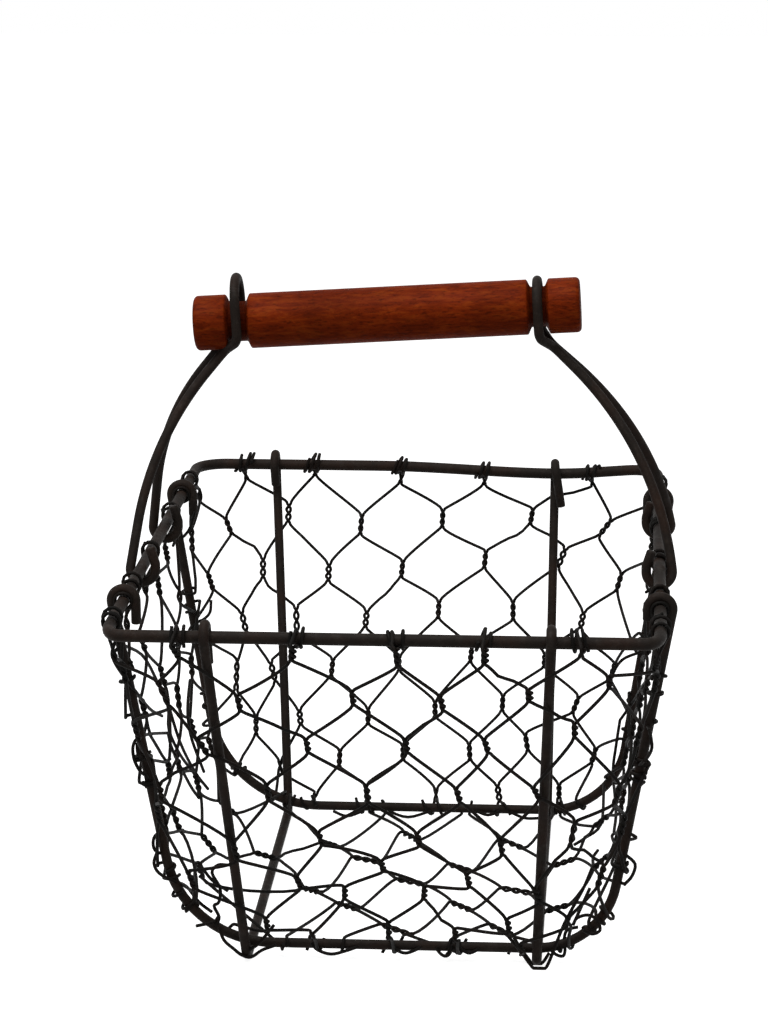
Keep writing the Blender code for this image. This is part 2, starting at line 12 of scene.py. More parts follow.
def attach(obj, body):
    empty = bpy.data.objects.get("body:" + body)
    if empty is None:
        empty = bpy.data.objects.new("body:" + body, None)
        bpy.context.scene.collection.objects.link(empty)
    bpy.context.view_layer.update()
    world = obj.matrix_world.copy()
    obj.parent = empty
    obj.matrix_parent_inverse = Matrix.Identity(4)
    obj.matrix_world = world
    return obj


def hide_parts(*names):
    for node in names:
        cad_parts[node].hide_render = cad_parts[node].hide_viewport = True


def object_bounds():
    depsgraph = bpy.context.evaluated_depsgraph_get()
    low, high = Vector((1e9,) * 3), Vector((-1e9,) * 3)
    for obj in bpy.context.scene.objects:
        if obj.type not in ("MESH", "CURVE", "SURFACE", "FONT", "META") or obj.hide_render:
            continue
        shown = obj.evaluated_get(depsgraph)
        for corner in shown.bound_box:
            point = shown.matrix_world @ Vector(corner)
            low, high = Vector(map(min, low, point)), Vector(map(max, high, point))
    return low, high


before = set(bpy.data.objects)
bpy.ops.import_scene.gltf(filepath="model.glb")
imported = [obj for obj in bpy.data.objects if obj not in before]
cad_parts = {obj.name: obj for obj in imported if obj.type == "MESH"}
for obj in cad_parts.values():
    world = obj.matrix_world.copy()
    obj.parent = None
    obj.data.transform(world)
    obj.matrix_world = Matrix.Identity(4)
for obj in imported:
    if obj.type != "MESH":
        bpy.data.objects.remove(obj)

CAD_LOW, CAD_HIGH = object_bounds()

bl_info = {
    "name": "Wire onion basket",
    "version": (1, 0, 0),
    "blender": (4, 5, 0),
    "location": "3D View > Sidebar > Basket",
    "description": "Builds the wires, netting, grip and stage of a small wire basket",
    "category": "Object",
}

# The photograph's frame and its camera, turned from a level one that looks along +Y
PHOTO_WIDTH = 768
PHOTO_HEIGHT = 1024
FOCAL_PIXELS = 3600
SENSOR = 36
CAMERA_PLACE = Vector((0.07906, -1.2324, 0.43198))
CAMERA_PITCH = 0.233
CAMERA_YAW = 0.0705
CAMERA_ROLL = -0.0022

# Wires, in metres, and the gap left between two that pass
CLEARANCE = 0.0003
RIM_WIRE = 0.0041
FRAME_WIRE = 0.0034
NET_WIRE = 0.0012

# Rim ring, and the sag of its rear bar where the right rib hooks on
RIM_WIDTH = 0.178
RIM_DEPTH = 0.254
RIM_HEIGHT = 0.127
RIM_FRONT_CORNER_X = 0.005
RIM_REAR_CORNER_X = 0.0115
RIM_CORNER_Y = 0.011
BAR_SAG = 0.0022
SAG_START_X = -0.018
SAG_LOW_X = 0.0494
SAG_END_X = 0.090

# Hoops: the depth at the rim and at the foot, how far in from the rails the foot is, and the bends and the
# tails' drops of the left and right sides
FRONT_HOOP = {
    "top_y": -0.083, "foot_y": -0.0758, "foot_in": 0.0175, "bends": (0.036, 0.028), "tails": (0.008, 0.004),
}
REAR_HOOP = {
    "top_y": 0.0735, "foot_y": 0.0753, "foot_in": 0.0150, "bends": (0.042, 0.030), "tails": (0.008, 0.006),
}

# Ribs: how far in from the rail the tops and feet are, in front and at the rear, and how far the rear tail
# hangs down and leans out
RIB_SETBACK = 0.0045
RIB_BEND = 0.006
RIB_FRONT_TAIL = 0.010
LEFT_RIB = {
    "side": -1, "tops": (0.0324, 0.0298), "feet": (0.0399, 0.0381), "rear_tail": 0.0075, "rear_lean": 0.0,
}
RIGHT_RIB = {
    "side": 1, "tops": (0.0347, 0.0396), "feet": (0.0397, 0.0405), "rear_tail": 0.0125, "rear_lean": 0.0026,
}

# Grip, and its two grooves with their middles' distances from its ends
GRIP_LENGTH = 0.1346
GRIP_RADIUS = 0.0096
GRIP_CENTRE = Vector((-0.0066, -0.0010, 0.20985))
GRIP_TILT = math.radians(3.45)
GRIP_EDGE = 0.0016
GROOVE_RADIUS = 0.0070
GROOVE_CHAMFER = 0.0017
LEFT_GROOVE = {"width": 0.0055, "from_end": 0.0153}
RIGHT_GROOVE = {"width": 0.0046, "from_end": 0.0147}

# Bails. Each pair is the front leg's and the rear leg's: the feet's places along the rail, the knees
# (inwards, upwards) from the rail with their bends, and the necks (outwards, downwards) from the middle of
# the groove
FOOT_SLACK = 0.0005
FOOT_DEPTH = 0.0055
FOOT_KNUCKLE_RISE = 0.0012
FOOT_TIP_RISE = 0.0068
FOOT_TIP_LEAN = 0.0018
FOOT_TIP_BEND = 0.003
SHOULDER_BEND = 0.004
NECK_HALF = 0.0021
LOOP_SLACK = 0.0004
LOOP_LIP = 0.0042
LOOP_LIP_BEND = 0.004
LEFT_BAIL = {
    "side": -1, "feet": (-0.037, 0.026),
    "knees": ((0.0015, 0.0410), (0.0018, 0.0427)), "bends": (0.1142, 0.1005),
    "necks": ((0.0047, 0.0098), (0.0073, 0.0100)), "loop_rise": 0.0154,
}
RIGHT_BAIL = {
    "side": 1, "feet": (-0.031, 0.0420),
    "knees": ((0.0012, 0.0391), (0.0027, 0.0376)), "bends": (0.1185, 0.1447),
    "necks": ((0.0056, 0.0138), (0.0044, 0.0133)), "loop_rise": GROOVE_RADIUS + FRAME_WIRE / 2 + LOOP_SLACK,
}

# Sheets of netting: their cells, rows, edges and seeds. A margin is the share of a cell that stays free
# beside a hoop
END_CELL_WIDTH = 0.0345
END_FOOT_SHARE = 0.76
END_ROWS = 6
END_NET_TOP = 0.119
END_NET_FOOT = 0.0075
END_CORNER_TOP_IN = 0.001
END_CORNER_FOOT_IN = 0.029
FRONT_SEED = 3
REAR_SEED = 5
TROUGH_CELL_WIDTH = 0.048
TROUGH_OFFSET = -0.0155
TROUGH_ROWS = 19
TROUGH_TOP = 0.116
TROUGH_SEED = 7
CELL_MARGIN_SHARE = 0.22
BASE_MARGIN_SHARE = 0.47

# Twists, and the strands between them. A share is one of the cell's width or of the strand's length
STRAND_DROP = 0.0100
NECK_RUN = 0.0040
SHORT_TWIST = 0.0052
TWIST_HALF_TURNS = 3
TWIST_SIDE_SHARE = 0.125
LOOSE_SPREAD = 1.4
PLACE_STRAY_SHARE = 0.05
TWIST_LEAN_SHARE = 0.04
HANDLE_SHARE = 0.07
BOW_SHARE = 0.03
KINK_CHANCE = 0.16
KINK_LENGTH_SHARE = 0.07
KINK_PLACES = (0.3, 0.7)
KINK_SHARPNESS = 5

# Ties: what their draws run between. Pitches and loose loops are counted in strand diameters
SIDE_TIE_SHIFT_SHARE = 0.25
SIDE_TIE_TURNS = (0.55, 1.1)
SIDE_TIE_PITCHES = (1.2, 2.6)
SIDE_TIE_LOOSE = (0, 0.2, 0.5, 1.2)
SIDE_TIE_TAILS = (0.0001, 0.0007)
LEVEL_WIRE = 0.3  # a frame wire that rises less than this share of its run counts as level
LEVEL_TURN_SHARE = 0.45
BAIL_FOOT_ROOM = 0.0085
RIM_TIE_PITCHES = (1.05, 1.5)
RIM_TIE_TURNS = (0.8, 1.35)
RIM_TIE_TAILS = (0.0002, 0.0012)
RIM_TIE_LEAD = 0.6
RIM_TIE_LOOSE = (0, 0.3, 0.6, 1.3)
FOOT_TIE_STRETCHES = (2.0, 5.0)
FOOT_TIE_TURNS = (0.3, 0.55)
FRONT_TIE_LEANS = (-0.35, 0.3)
REAR_TIE_LEANS = (0.1, 0.55)
RAIL_TIE_LEANS = (-0.15, 0.15)
FRONT_CORNER_TIE_IN = 0.0165
REAR_CORNER_TIE_IN = 0.0305

# Where the photograph shows the upper and lower ends of the twists, by (row, column in half cells), in its
# pixels, and which of the twists are loose
FRONT_TWISTS = {
    (-1, -4): (172, 646, 180, 659), (-1, -2): (293, 646, 292, 662), (-1, 0): (396, 649, 398, 667),
    (-1, 2): (485, 650, 485, 666), (-1, 4): (583, 649, 581, 658),
    (0, -5): (158, 681, 170, 708), (0, -3): (237, 694, 241, 712), (0, -1): (352, 690, 354, 706),
    (0, 1): (440, 695, 444, 712), (0, 3): (529, 688, 530, 703), (0, 5): (609, 676, 610, 689),
    (1, -4): (197, 738, 209, 756), (1, -2): (306, 738, 309, 754), (1, 0): (405, 738, 408, 754),
    (1, 2): (484, 738, 489, 754), (1, 4): (575, 722, 575, 739),
    (2, -3): (267, 783, 269, 802), (2, -1): (366, 784, 369, 804), (2, 1): (456, 787, 461, 804),
    (2, 3): (533, 786, 540, 800),
    (3, -4): (233, 842, 238, 861), (3, -2): (318, 831, 323, 846), (3, 0): (417, 832, 420, 847),
    (3, 2): (500, 838, 503, 856), (3, 4): (576, 820, 570, 848),
    (4, -3): (296, 876, 302, 889), (4, -1): (381, 860, 384, 872), (4, 1): (467, 873, 470, 888),
    (4, 3): (534, 887, 540, 903),
    (5, -4): (266, 917, 268, 930), (5, -2): (345, 886, 345, 900), (5, 0): (425, 886, 424, 900),
    (5, 2): (507, 918, 510, 933), (5, 4): (568, 917, 569, 926),
    (6, -3): (313, 931, 312, 938), (6, -1): (389, 921, 389, 938), (6, 1): (455, 928, 456, 941),
}
FRONT_LOOSE = {(-1, 2), (-1, -2), (0, 3), (6, -3)}
REAR_TWISTS = {
    (-1, -4): (244, 469, 247, 480), (-1, -2): (315, 469, 315, 476), (-1, 0): (402, 473, 400, 484),
    (-1, 2): (485, 477, 484, 485), (-1, 4): (591, 479, 593, 486),
    (0, -5): (225, 517, 232, 535), (0, -3): (289, 502, 288, 524), (0, -1): (362, 514, 360, 535),
    (0, 1): (443, 509, 442, 528), (0, 3): (533, 508, 530, 525), (0, 5): (612, 519, 598, 537),
    (1, -6): (208, 573, 213, 589), (1, -4): (263, 556, 263, 580), (1, -2): (329, 562, 328, 583),
    (1, 0): (403, 560, 401, 578), (1, 2): (486, 550, 484, 569), (1, 4): (566, 547, 557, 569),
    (1, 6): (622, 572, 616, 592),
    (2, -5): (241, 610, 247, 635), (2, -3): (296, 605, 297, 636), (2, -1): (367, 609, 365, 629),
    (2, 1): (439, 600, 438, 619), (2, 3): (513, 600, 513, 621), (2, 5): (584, 610, 580, 630),
    (3, -6): (237, 659, 236, 690), (3, -4): (270, 660, 276, 684), (3, -2): (333, 658, 331, 677),
    (3, 0): (399, 656, 399, 672), (3, 2): (472, 646, 470, 663), (3, 4): (545, 652, 544, 668),
    (3, 6): (615, 664, 610, 680),
    (4, -5): (256, 714, 256, 736), (4, -3): (299, 708, 301, 727), (4, -1): (368, 707, 368, 725),
    (4, 1): (435, 700, 435, 718), (4, 3): (503, 694, 502, 712), (4, 5): (579, 696, 572, 714),
    (5, -4): (280, 760, 280, 771), (5, -2): (340, 749, 339, 767), (5, 0): (403, 744, 403, 761),
    (5, 2): (469, 742, 470, 761), (5, 4): (525, 733, 528, 752), (5, 6): (596, 748, 591, 764),
    (6, -3): (316, 792, 313, 803), (6, -1): (366, 784, 367, 802), (6, 1): (436, 788, 436, 801),
    (6, 3): (497, 783, 500, 804), (6, 5): (559, 783, 559, 799),
}
REAR_LOOSE = {
    (0, -3), (1, -4), (1, -2), (1, 4), (2, -5), (2, -3), (2, -1), (2, 5), (3, -6), (3, -4), (4, -3), (6, 3),
}
TROUGH_TWISTS = {
    (-1, 2): (165, 545, 168, 560), (0, 1): (157, 575, 160, 595), (0, 3): (179, 590, 180, 602),
    (2, 3): (191, 655, 192, 675), (2, -1): (168, 762, 170, 777), (3, 2): (190, 718, 195, 735),
    (4, 1): (195, 773, 199, 790), (4, -1): (172, 808, 180, 830), (6, -1): (199, 863, 202, 878),
    (7, 2): (322, 842, 336, 846), (7, 0): (303, 888, 318, 892),
    (8, 1): (352, 857, 378, 862), (8, -1): (336, 903, 356, 909),
    (9, 2): (402, 832, 417, 840), (9, 0): (396, 879, 422, 884), (9, -2): (380, 924, 408, 934),
    (10, 1): (448, 864, 470, 871), (10, -1): (450, 902, 470, 910),
    (11, 2): (500, 839, 522, 848), (11, 0): (500, 888, 529, 893), (11, -2): (488, 924, 510, 935),
}
TROUGH_LOOSE = {(4, 1), (9, 2), (11, 0), (-1, 2)}

# Loose strands: where on a side sheet the search for a pixel starts, as a share of its length, the search's
# longest step, and how far in front of the sheet's edge a strand passes the hoop's leg
STRAY_START_SHARE = 0.15
STRAY_STEP = 0.02
STRAY_OUT = 0.0060

# Loose strands that the photograph shows on the two sides, as the pixels that they pass
SIDE_STRAYS = (
    ((168, 733), (150, 734), (138, 738), (133, 746), (134, 759), (140, 771), (147, 777), (162, 795),
     (173, 811)),
    ((137, 743), (138, 754), (144, 759), (158, 761), (165, 762), (170, 759)),
    ((183, 830), (170, 833), (157, 834), (153, 843), (157, 852), (173, 855), (196, 863)),
    ((157, 852), (154, 863), (159, 873), (173, 881), (186, 886), (199, 902), (212, 912)),
    ((121, 645), (113, 655), (118, 668), (134, 689), (150, 709), (162, 716)),
    ((116, 642), (142, 655), (157, 681), (168, 707), (169, 730), (181, 756), (196, 777), (199, 798)),
    ((168, 733), (173, 751), (190, 785), (199, 798)),
    ((190, 680), (188, 700), (188, 718), (192, 740), (204, 772)),
    ((167, 700), (180, 742), (195, 772), (208, 789)),
    ((199, 863), (212, 880), (228, 891)),
    ((625, 884), (604, 878), (595, 869), (593, 858), (598, 850)),
    ((626, 855), (635, 864), (632, 876), (624, 885)),
    ((615, 845), (612, 836), (617, 833), (622, 840), (636, 838), (631, 834)),
    ((620, 720), (616, 746), (613, 772), (616, 811), (614, 832)),
    ((604, 785), (601, 824), (585, 838), (574, 845)),
    ((613, 783), (640, 765), (651, 751), (651, 738), (648, 727), (640, 722)),
    ((661, 671), (646, 681), (635, 699), (620, 720)),
    ((640, 652), (622, 660), (612, 676), (610, 690)),
)
# The same for the strands round the foot and the legs: the depths of their two ends, and the pixels
FOOT_STRAYS = (
    (-0.0826, -0.0790, ((228, 865), (218, 865), (212, 873), (220, 888), (219, 902), (214, 906), (219, 917),
                        (216, 926))),
    (-0.0830, -0.0780, ((196, 926), (206, 924), (214, 922), (218, 917))),
    (-0.0826, -0.0826, ((219, 927), (224, 940), (234, 949), (242, 955), (251, 957), (262, 950), (276, 945))),
    (-0.0826, -0.0826, ((249, 950), (258, 944), (266, 935), (274, 925))),
    (-0.0781, -0.0781, ((311, 943), (318, 950), (331, 954), (345, 951), (357, 947))),
    (-0.0781, -0.0781, ((391, 943), (397, 950), (405, 953), (413, 951), (421, 947))),
    (-0.0781, -0.0781, ((436, 948), (441, 954), (446, 956), (450, 953), (452, 945))),
    (-0.0781, -0.0781, ((458, 947), (464, 951), (470, 953), (479, 949))),
    (-0.0826, -0.0826, ((508, 936), (519, 949), (530, 964), (537, 972), (545, 969), (551, 957), (556, 944),
                        (566, 920), (583, 889), (592, 868))),
    (-0.0781, -0.0781, ((521, 949), (528, 958), (535, 967), (543, 962), (549, 953))),
    (-0.0800, -0.0740, ((552, 951), (557, 955), (563, 956), (565, 950), (564, 940), (567, 930), (578, 927))),
    (-0.0826, -0.0826, ((573, 925), (577, 918), (588, 915), (597, 920), (600, 930), (592, 934), (583, 930))),
    (-0.0700, -0.0760, ((590, 888), (573, 925))),
    (0.0727, 0.0727, ((333, 811), (347, 816), (363, 811))),
    (0.0727, 0.0727, ((388, 811), (408, 817), (431, 811))),
    (0.0727, 0.0727, ((476, 811), (488, 815), (500, 811))),
    (0.0727, 0.0727, ((510, 812), (525, 818), (541, 818))),
    (0.0700, 0.0760, ((195, 512), (190, 528), (183, 537), (176, 540), (173, 546))),
    (0.0760, 0.0700, ((211, 600), (210, 612), (204, 619), (198, 622), (190, 629))),
)

# Places and distances that follow from the sizes. The CAD frame wires are prisms with this many sides
RAIL_HALF = RIM_WIDTH / 2
BAR_HALF = RIM_DEPTH / 2
HOOK_RADIUS = (RIM_WIRE + FRAME_WIRE) / 2 + CLEARANCE
CAD_WIRE_SIDES = 8
RIB_RADIUS_DOWN = FRAME_WIRE / 2 * math.cos(math.pi / CAD_WIRE_SIDES)
HOOP_FOOT_HEIGHT = RIB_RADIUS_DOWN + FRAME_WIRE + CLEARANCE
RIB_REACH = RAIL_HALF - min(*LEFT_RIB["feet"], *RIGHT_RIB["feet"]) + FRAME_WIRE

# Fineness of the bends, the wires and the grip
BEND_STEP = math.radians(7.5)
BEND_CHORD = 0.003
TINY = 0.000001
FRAME_TUBE_SIDES = 20
NET_TUBE_SIDES = 7
HALF_TURN_STEPS = 6
COIL_STEPS = 14
STRAND_STEPS = 8
STRAY_STEPS = 4
CORNER_STEPS = 12
BAR_STEPS = 24
SOLVER_STEPS = 12
GRIP_EDGE_STEPS = 6
GRIP_RUN_CUTS = 24
SHARP_EDGE = math.radians(60)

# How much brown and worn film the wires carry, and their shine
FRAME_AGE = {"rust": 0.7, "wear": 0.7, "shine": 0.07}
NET_AGE = {"rust": 0.25, "wear": 0.12, "shine": 0.06}

# Wood: its grain and pores lie along the grip, and the grooves' darkening ends at this share of its radius
GRAIN_SCALE = (110, 520, 520)
PORE_SCALE = (420, 1500, 1500)
GROOVE_DARK_SHARE = 0.985
WOOD_SHINE = 0.02

# Stage
FLOOR_GREY = (0.45, 0.45, 0.45, 1)
FLOOR_ROUGHNESS = 0.9
FLOOR_GLOW = 0.88
WHITE = (1, 1, 1, 1)
TOP_LIGHT = {"place": (-0.25, -0.35, 1.3), "size": 1.1}
FRONT_LIGHT = {"place": (0.7, -1.5, 0.7), "size": 1.0}
NODE_SPACING = 220


def mix(low, high, share):
    """The value at this share of the way from low to high."""
    return low + (high - low) * share


def camera_turn():
    """The rows are the camera's right, down and forward directions in the world."""
    level = Matrix(((1, 0, 0), (0, 0, -1), (0, 1, 0)))
    pitch = Matrix.Rotation(CAMERA_PITCH, 3, "X")
    yaw = Matrix.Rotation(-CAMERA_YAW, 3, "Z")
    roll = Matrix.Rotation(CAMERA_ROLL, 3, "Z")
    return roll @ pitch @ level @ yaw


def pixel_of(point):
    """Where the camera sees the point, in the photograph's pixels."""
    seen = camera_turn() @ (Vector(point) - CAMERA_PLACE)
    across = PHOTO_WIDTH / 2 + FOCAL_PIXELS * seen.x / seen.z
    down = PHOTO_HEIGHT / 2 + FOCAL_PIXELS * seen.y / seen.z
    return Vector((across, down))


def at_depth(pixel, depth):
    """The place with this Y that the camera sees at the pixel."""
    across = (pixel[0] - PHOTO_WIDTH / 2) / FOCAL_PIXELS
    down = (pixel[1] - PHOTO_HEIGHT / 2) / FOCAL_PIXELS
    way = camera_turn().transposed() @ Vector((across, down, 1))
    return CAMERA_PLACE + way * ((depth - CAMERA_PLACE.y) / way.y)


def strand_depths(start, end, pixels):
    """The places that a loose strand passes, its depth changing evenly from end to end."""
    last = len(pixels) - 1
    return [at_depth(pixel, mix(start, end, index / last)) for index, pixel in enumerate(pixels)]


def smooth_line(places):
    """A line that passes smoothly through the places, none of them under the floor."""
    places = [places[0] * 2 - places[1], *places, places[-1] * 2 - places[-2]]
    line = []
    for a, b, c, d in zip(places, places[1:], places[2:], places[3:]):
        for step in range(STRAY_STEPS):
            share = step / STRAY_STEPS
            curve = (b * 3 - a - c * 3 + d) * share**3
            curve += (a * 2 - b * 5 + c * 4 - d) * share**2 + (c - a) * share
            line.append(b + curve / 2)
    line.append(places[-2])
    for place in line:
        place.z = max(place.z, CAD_LOW.z + NET_WIRE / 2)
    return line


def seen_place(sheet, flat, pixel, most):
    """Where on a sheet of netting the pixel lies, looked for from the flat place in steps of at most this
    length."""
    for _ in range(SOLVER_STEPS):
        here = pixel_of(sheet.place(*flat))
        right = (pixel_of(sheet.place(flat.x + NET_WIRE, flat.y)) - here) / NET_WIRE
        lower = (pixel_of(sheet.place(flat.x, flat.y + NET_WIRE)) - here) / NET_WIRE
        step = Matrix(((right.x, lower.x), (right.y, lower.y))).inverted_safe() @ (Vector(pixel) - here)
        if step.length > most:
            step *= most / step.length
        flat = flat + step
    return flat


def bend(corners, radii):
    """The centre line of a wire through these corners, each inner one bent to its own radius."""
    line = [Vector(corners[0])]
    for before, corner, after, radius in zip(corners, corners[1:], corners[2:], radii):
        back = (Vector(before) - Vector(corner)).normalized()
        on = (Vector(after) - Vector(corner)).normalized()
        half = back.angle(on) / 2
        turn = math.pi - 2 * half
        centre = Vector(corner) + (back + on).normalized() * (radius / math.sin(half))
        start = Vector(corner) + back * (radius / math.tan(half))
        steps = max(math.ceil(turn / BEND_STEP), math.ceil(radius * turn / BEND_CHORD))
        for step in range(steps + 1):
            swing = Matrix.Rotation(turn * step / steps, 3, back.cross(on) * -1)
            point = centre + swing @ (start - centre)
            if (point - line[-1]).length > TINY:
                line.append(point)
    line.append(Vector(corners[-1]))
    return line


def outer_tangent(centre, radius, point, height):
    """How far out, at this height, the line from the point lies that just touches the circle's outer side."""
    away = Vector(point) - Vector(centre)
    lean = math.atan2(away.y, away.x)
    opening = math.acos(radius / away.length)
    turns = (lean + opening, lean - opening)
    touches = (Vector(centre) + radius * Vector((math.cos(angle), math.sin(angle))) for angle in turns)
    touch = max(touches, key=lambda place: place.x)
    share = (height - point[1]) / (touch.y - point[1])
    return point[0] + (touch.x - point[0]) * share


def ease(share):
    """The share with a gentle start and end."""
    share = min(max(share, 0), 1)
    return share * share * (3 - 2 * share)


def bar_sag(x, y):
    """How far the rear bar hangs down at this place."""
    if y < 0:
        return 0
    before = ease((x - SAG_START_X) / (SAG_LOW_X - SAG_START_X))
    after = ease((SAG_END_X - x) / (SAG_END_X - SAG_LOW_X))
    return BAR_SAG * min(before, after)


def rim_line():
    """The rim ring's centre line, with its rear bar in short steps because it sags."""
    line = []
    for corner, (x_side, y_side) in enumerate(((1, 1), (-1, 1), (-1, -1), (1, -1))):
        run = RIM_REAR_CORNER_X if y_side > 0 else RIM_FRONT_CORNER_X
        for step in range(CORNER_STEPS + 1):
            angle = math.pi / 2 * (corner + step / CORNER_STEPS)
            x = x_side * (RAIL_HALF - run) + run * math.cos(angle)
            y = y_side * (BAR_HALF - RIM_CORNER_Y) + RIM_CORNER_Y * math.sin(angle)
            line.append(Vector((x, y, RIM_HEIGHT)))
        if corner == 0:
            right, left = line[-1].x, run - RAIL_HALF
            for step in range(1, BAR_STEPS):
                line.append(Vector((mix(right, left, step / BAR_STEPS), BAR_HALF, RIM_HEIGHT)))
    return [Vector((p.x, p.y, p.z - bar_sag(p.x, p.y))) for p in line]


def hooked_u(rail_half, foot_height, foot_halves, foot_bends, tail_drops):
    """A U of frame wire: each leg rises outside the rim, goes over it and ends in a tail inside."""
    top = RIM_HEIGHT + HOOK_RADIUS
    corners = []
    for side, foot_half, tail_drop in zip((-1, 1), foot_halves, tail_drops):
        out = outer_tangent((rail_half, RIM_HEIGHT), HOOK_RADIUS, (foot_half, foot_height), top)
        tail = rail_half - HOOK_RADIUS
        leg = [(foot_half, foot_height), (out, top), (tail, top), (tail, RIM_HEIGHT - tail_drop)]
        corners += [(side * across, 0, height) for across, height in leg[::side]]
    return bend(corners, [HOOK_RADIUS, HOOK_RADIUS, *foot_bends, HOOK_RADIUS, HOOK_RADIUS])


class Hoop:
    """One hoop's places, from its measures."""

    def __init__(self, measures):
        self.measures = measures
        self.foot_y = measures["foot_y"]
        self.foot_half = RAIL_HALF - measures["foot_in"]
        foot = (self.foot_half, HOOP_FOOT_HEIGHT)
        leg_top = outer_tangent((RAIL_HALF, RIM_HEIGHT), HOOK_RADIUS, foot, RIM_HEIGHT)
        self.slope = (leg_top - self.foot_half) / (RIM_HEIGHT - HOOP_FOOT_HEIGHT)

    def depth(self, height):
        """The centre line's Y at this height, on legs that slant from rim to foot."""
        share = (height - HOOP_FOOT_HEIGHT) / (RIM_HEIGHT - HOOP_FOOT_HEIGHT)
        return mix(self.foot_y, self.measures["top_y"], share)

    def half(self, height, side):
        """How far out the centre line lies at this height: a slanted leg above, the lower bend below."""
        radius = self.measures["bends"][side > 0]
        lean = math.atan(self.slope)
        centre_height = HOOP_FOOT_HEIGHT + radius
        if height >= centre_height - radius * math.sin(lean):
            return self.foot_half + self.slope * (height - HOOP_FOOT_HEIGHT)
        centre_half = self.foot_half + self.slope * radius - radius / math.cos(lean)
        drop = min(centre_height - height, radius)
        return centre_half + math.sqrt(radius**2 - drop**2)

    def line(self):
        """The whole hoop's centre line, with its hooks and tails."""
        halves = (self.foot_half, self.foot_half)
        flat = hooked_u(RAIL_HALF, HOOP_FOOT_HEIGHT, halves, self.measures["bends"], self.measures["tails"])
        return [Vector((p.x, self.depth(min(p.z, RIM_HEIGHT)), p.z)) for p in flat]

    def section(self, top):
        """The part of the hoop below this height on both sides."""
        out = self.half(top, 1)
        foot = self.foot_half
        corners = ((-out, 0, top), (-foot, 0, HOOP_FOOT_HEIGHT), (foot, 0, HOOP_FOOT_HEIGHT), (out, 0, top))
        flat = bend(corners, self.measures["bends"])
        return [Vector((p.x, self.depth(p.z), p.z)) for p in flat]


def rib_line(rib):
    """A rib runs from front to rear under both hoops. The front end's tail is first, the rear end's last."""
    halves = (-FRONT_HOOP["foot_y"] + RIB_SETBACK, REAR_HOOP["foot_y"] + RIB_SETBACK)
    tails = (RIB_FRONT_TAIL, rib["rear_tail"])
    points = hooked_u(BAR_HALF, RIB_RADIUS_DOWN, halves, (RIB_BEND, RIB_BEND), tails)
    top = max(range(len(points) // 2, len(points)), key=lambda step: points[step].z)
    line = []
    for step, point in enumerate(points):
        along = (point.x + BAR_HALF) / RIM_DEPTH
        rise = (min(point.z, RIM_HEIGHT) - RIB_RADIUS_DOWN) / (RIM_HEIGHT - RIB_RADIUS_DOWN)
        inwards = mix(mix(*rib["feet"], along), mix(*rib["tops"], along), rise)
        lean = 0
        if step > top:
            lean = (points[top].z - point.z) / (points[top].z - points[-1].z) * rib["rear_lean"]
        x = rib["side"] * (RAIL_HALF - inwards + lean)
        line.append(Vector((x, point.x, point.z - bar_sag(x, point.x) * rise)))
    return line


def grip_axis():
    """The grip's direction, towards its right end."""
    return Vector((math.cos(GRIP_TILT), 0, math.sin(GRIP_TILT)))


def groove_place(groove, side):
    """The middle of a groove on the grip's axis."""
    return GRIP_CENTRE + grip_axis() * side * (GRIP_LENGTH / 2 - groove["from_end"])


def bail_line(bail, groove):
    """One wire: a hooked foot, the front leg, the loop over the grip's groove, the rear leg and its foot."""
    side = bail["side"]
    slack_radius = HOOK_RADIUS + FOOT_SLACK - CLEARANCE
    bottom = RIM_HEIGHT - FOOT_DEPTH
    inside = RAIL_HALF - slack_radius - CLEARANCE
    half_loop = GROOVE_RADIUS + FRAME_WIRE / 2 + LOOP_SLACK
    down = -grip_axis().cross(Vector((0, 1, 0)))
    corners, radii = [], []
    for turn, lean in enumerate((-1, 1)):
        foot_y, (knee_in, knee_rise) = bail["feet"][turn], bail["knees"][turn]
        neck_out, neck_drop = bail["necks"][turn]
        knee = (RAIL_HALF - knee_in, RIM_HEIGHT + knee_rise)
        outside = outer_tangent((RAIL_HALF, RIM_HEIGHT), slack_radius, knee, bottom)
        foot_bend = (outside - inside) / 2 - TINY
        neck_y = groove.y + lean * NECK_HALF
        neck_height = groove.z - neck_drop
        knee_y = mix(foot_y, neck_y, knee_rise / (neck_height - RIM_HEIGHT))
        lip = groove + down * (neck_drop - LOOP_LIP)
        top = groove - down * bail["loop_rise"]
        leg = [
            (side * (inside + FOOT_TIP_LEAN), foot_y, RIM_HEIGHT + FOOT_TIP_RISE),
            (side * inside, foot_y, RIM_HEIGHT + FOOT_KNUCKLE_RISE),
            (side * inside, foot_y, bottom),
            (side * outside, foot_y, bottom),
            (side * knee[0], knee_y, knee[1]),
            (groove.x + side * neck_out, neck_y, neck_height),
            (lip.x, groove.y + lean * half_loop, lip.z),
            (top.x, groove.y + lean * half_loop, top.z),
        ]
        bends = [FOOT_TIP_BEND, foot_bend, foot_bend, bail["bends"][turn], SHOULDER_BEND, LOOP_LIP_BEND]
        bends.append(half_loop - TINY)
        corners += leg if turn == 0 else leg[::-1]
        radii += bends if turn == 0 else bends[::-1]
    return bend(corners, radii)


def ring_places(line, closed=False):
    """A place and direction for a tube's ring at each point, turned as little as it can be from the last."""
    count = len(line)
    places = []
    turned = None
    for index, point in enumerate(line):
        before = line[index - 1] if index or closed else point
        after = line[(index + 1) % count] if index < count - 1 or closed else point
        ahead = ((after - point).normalized() + (point - before).normalized()).normalized()
        if turned is None:
            turned = Vector((0, 0, 1)).rotation_difference(ahead).to_matrix()
        else:
            last = turned.col[2].copy()
            turned = last.rotation_difference(ahead).to_matrix() @ turned
        places.append(Matrix.Translation(point) @ turned.to_4x4())
    return places


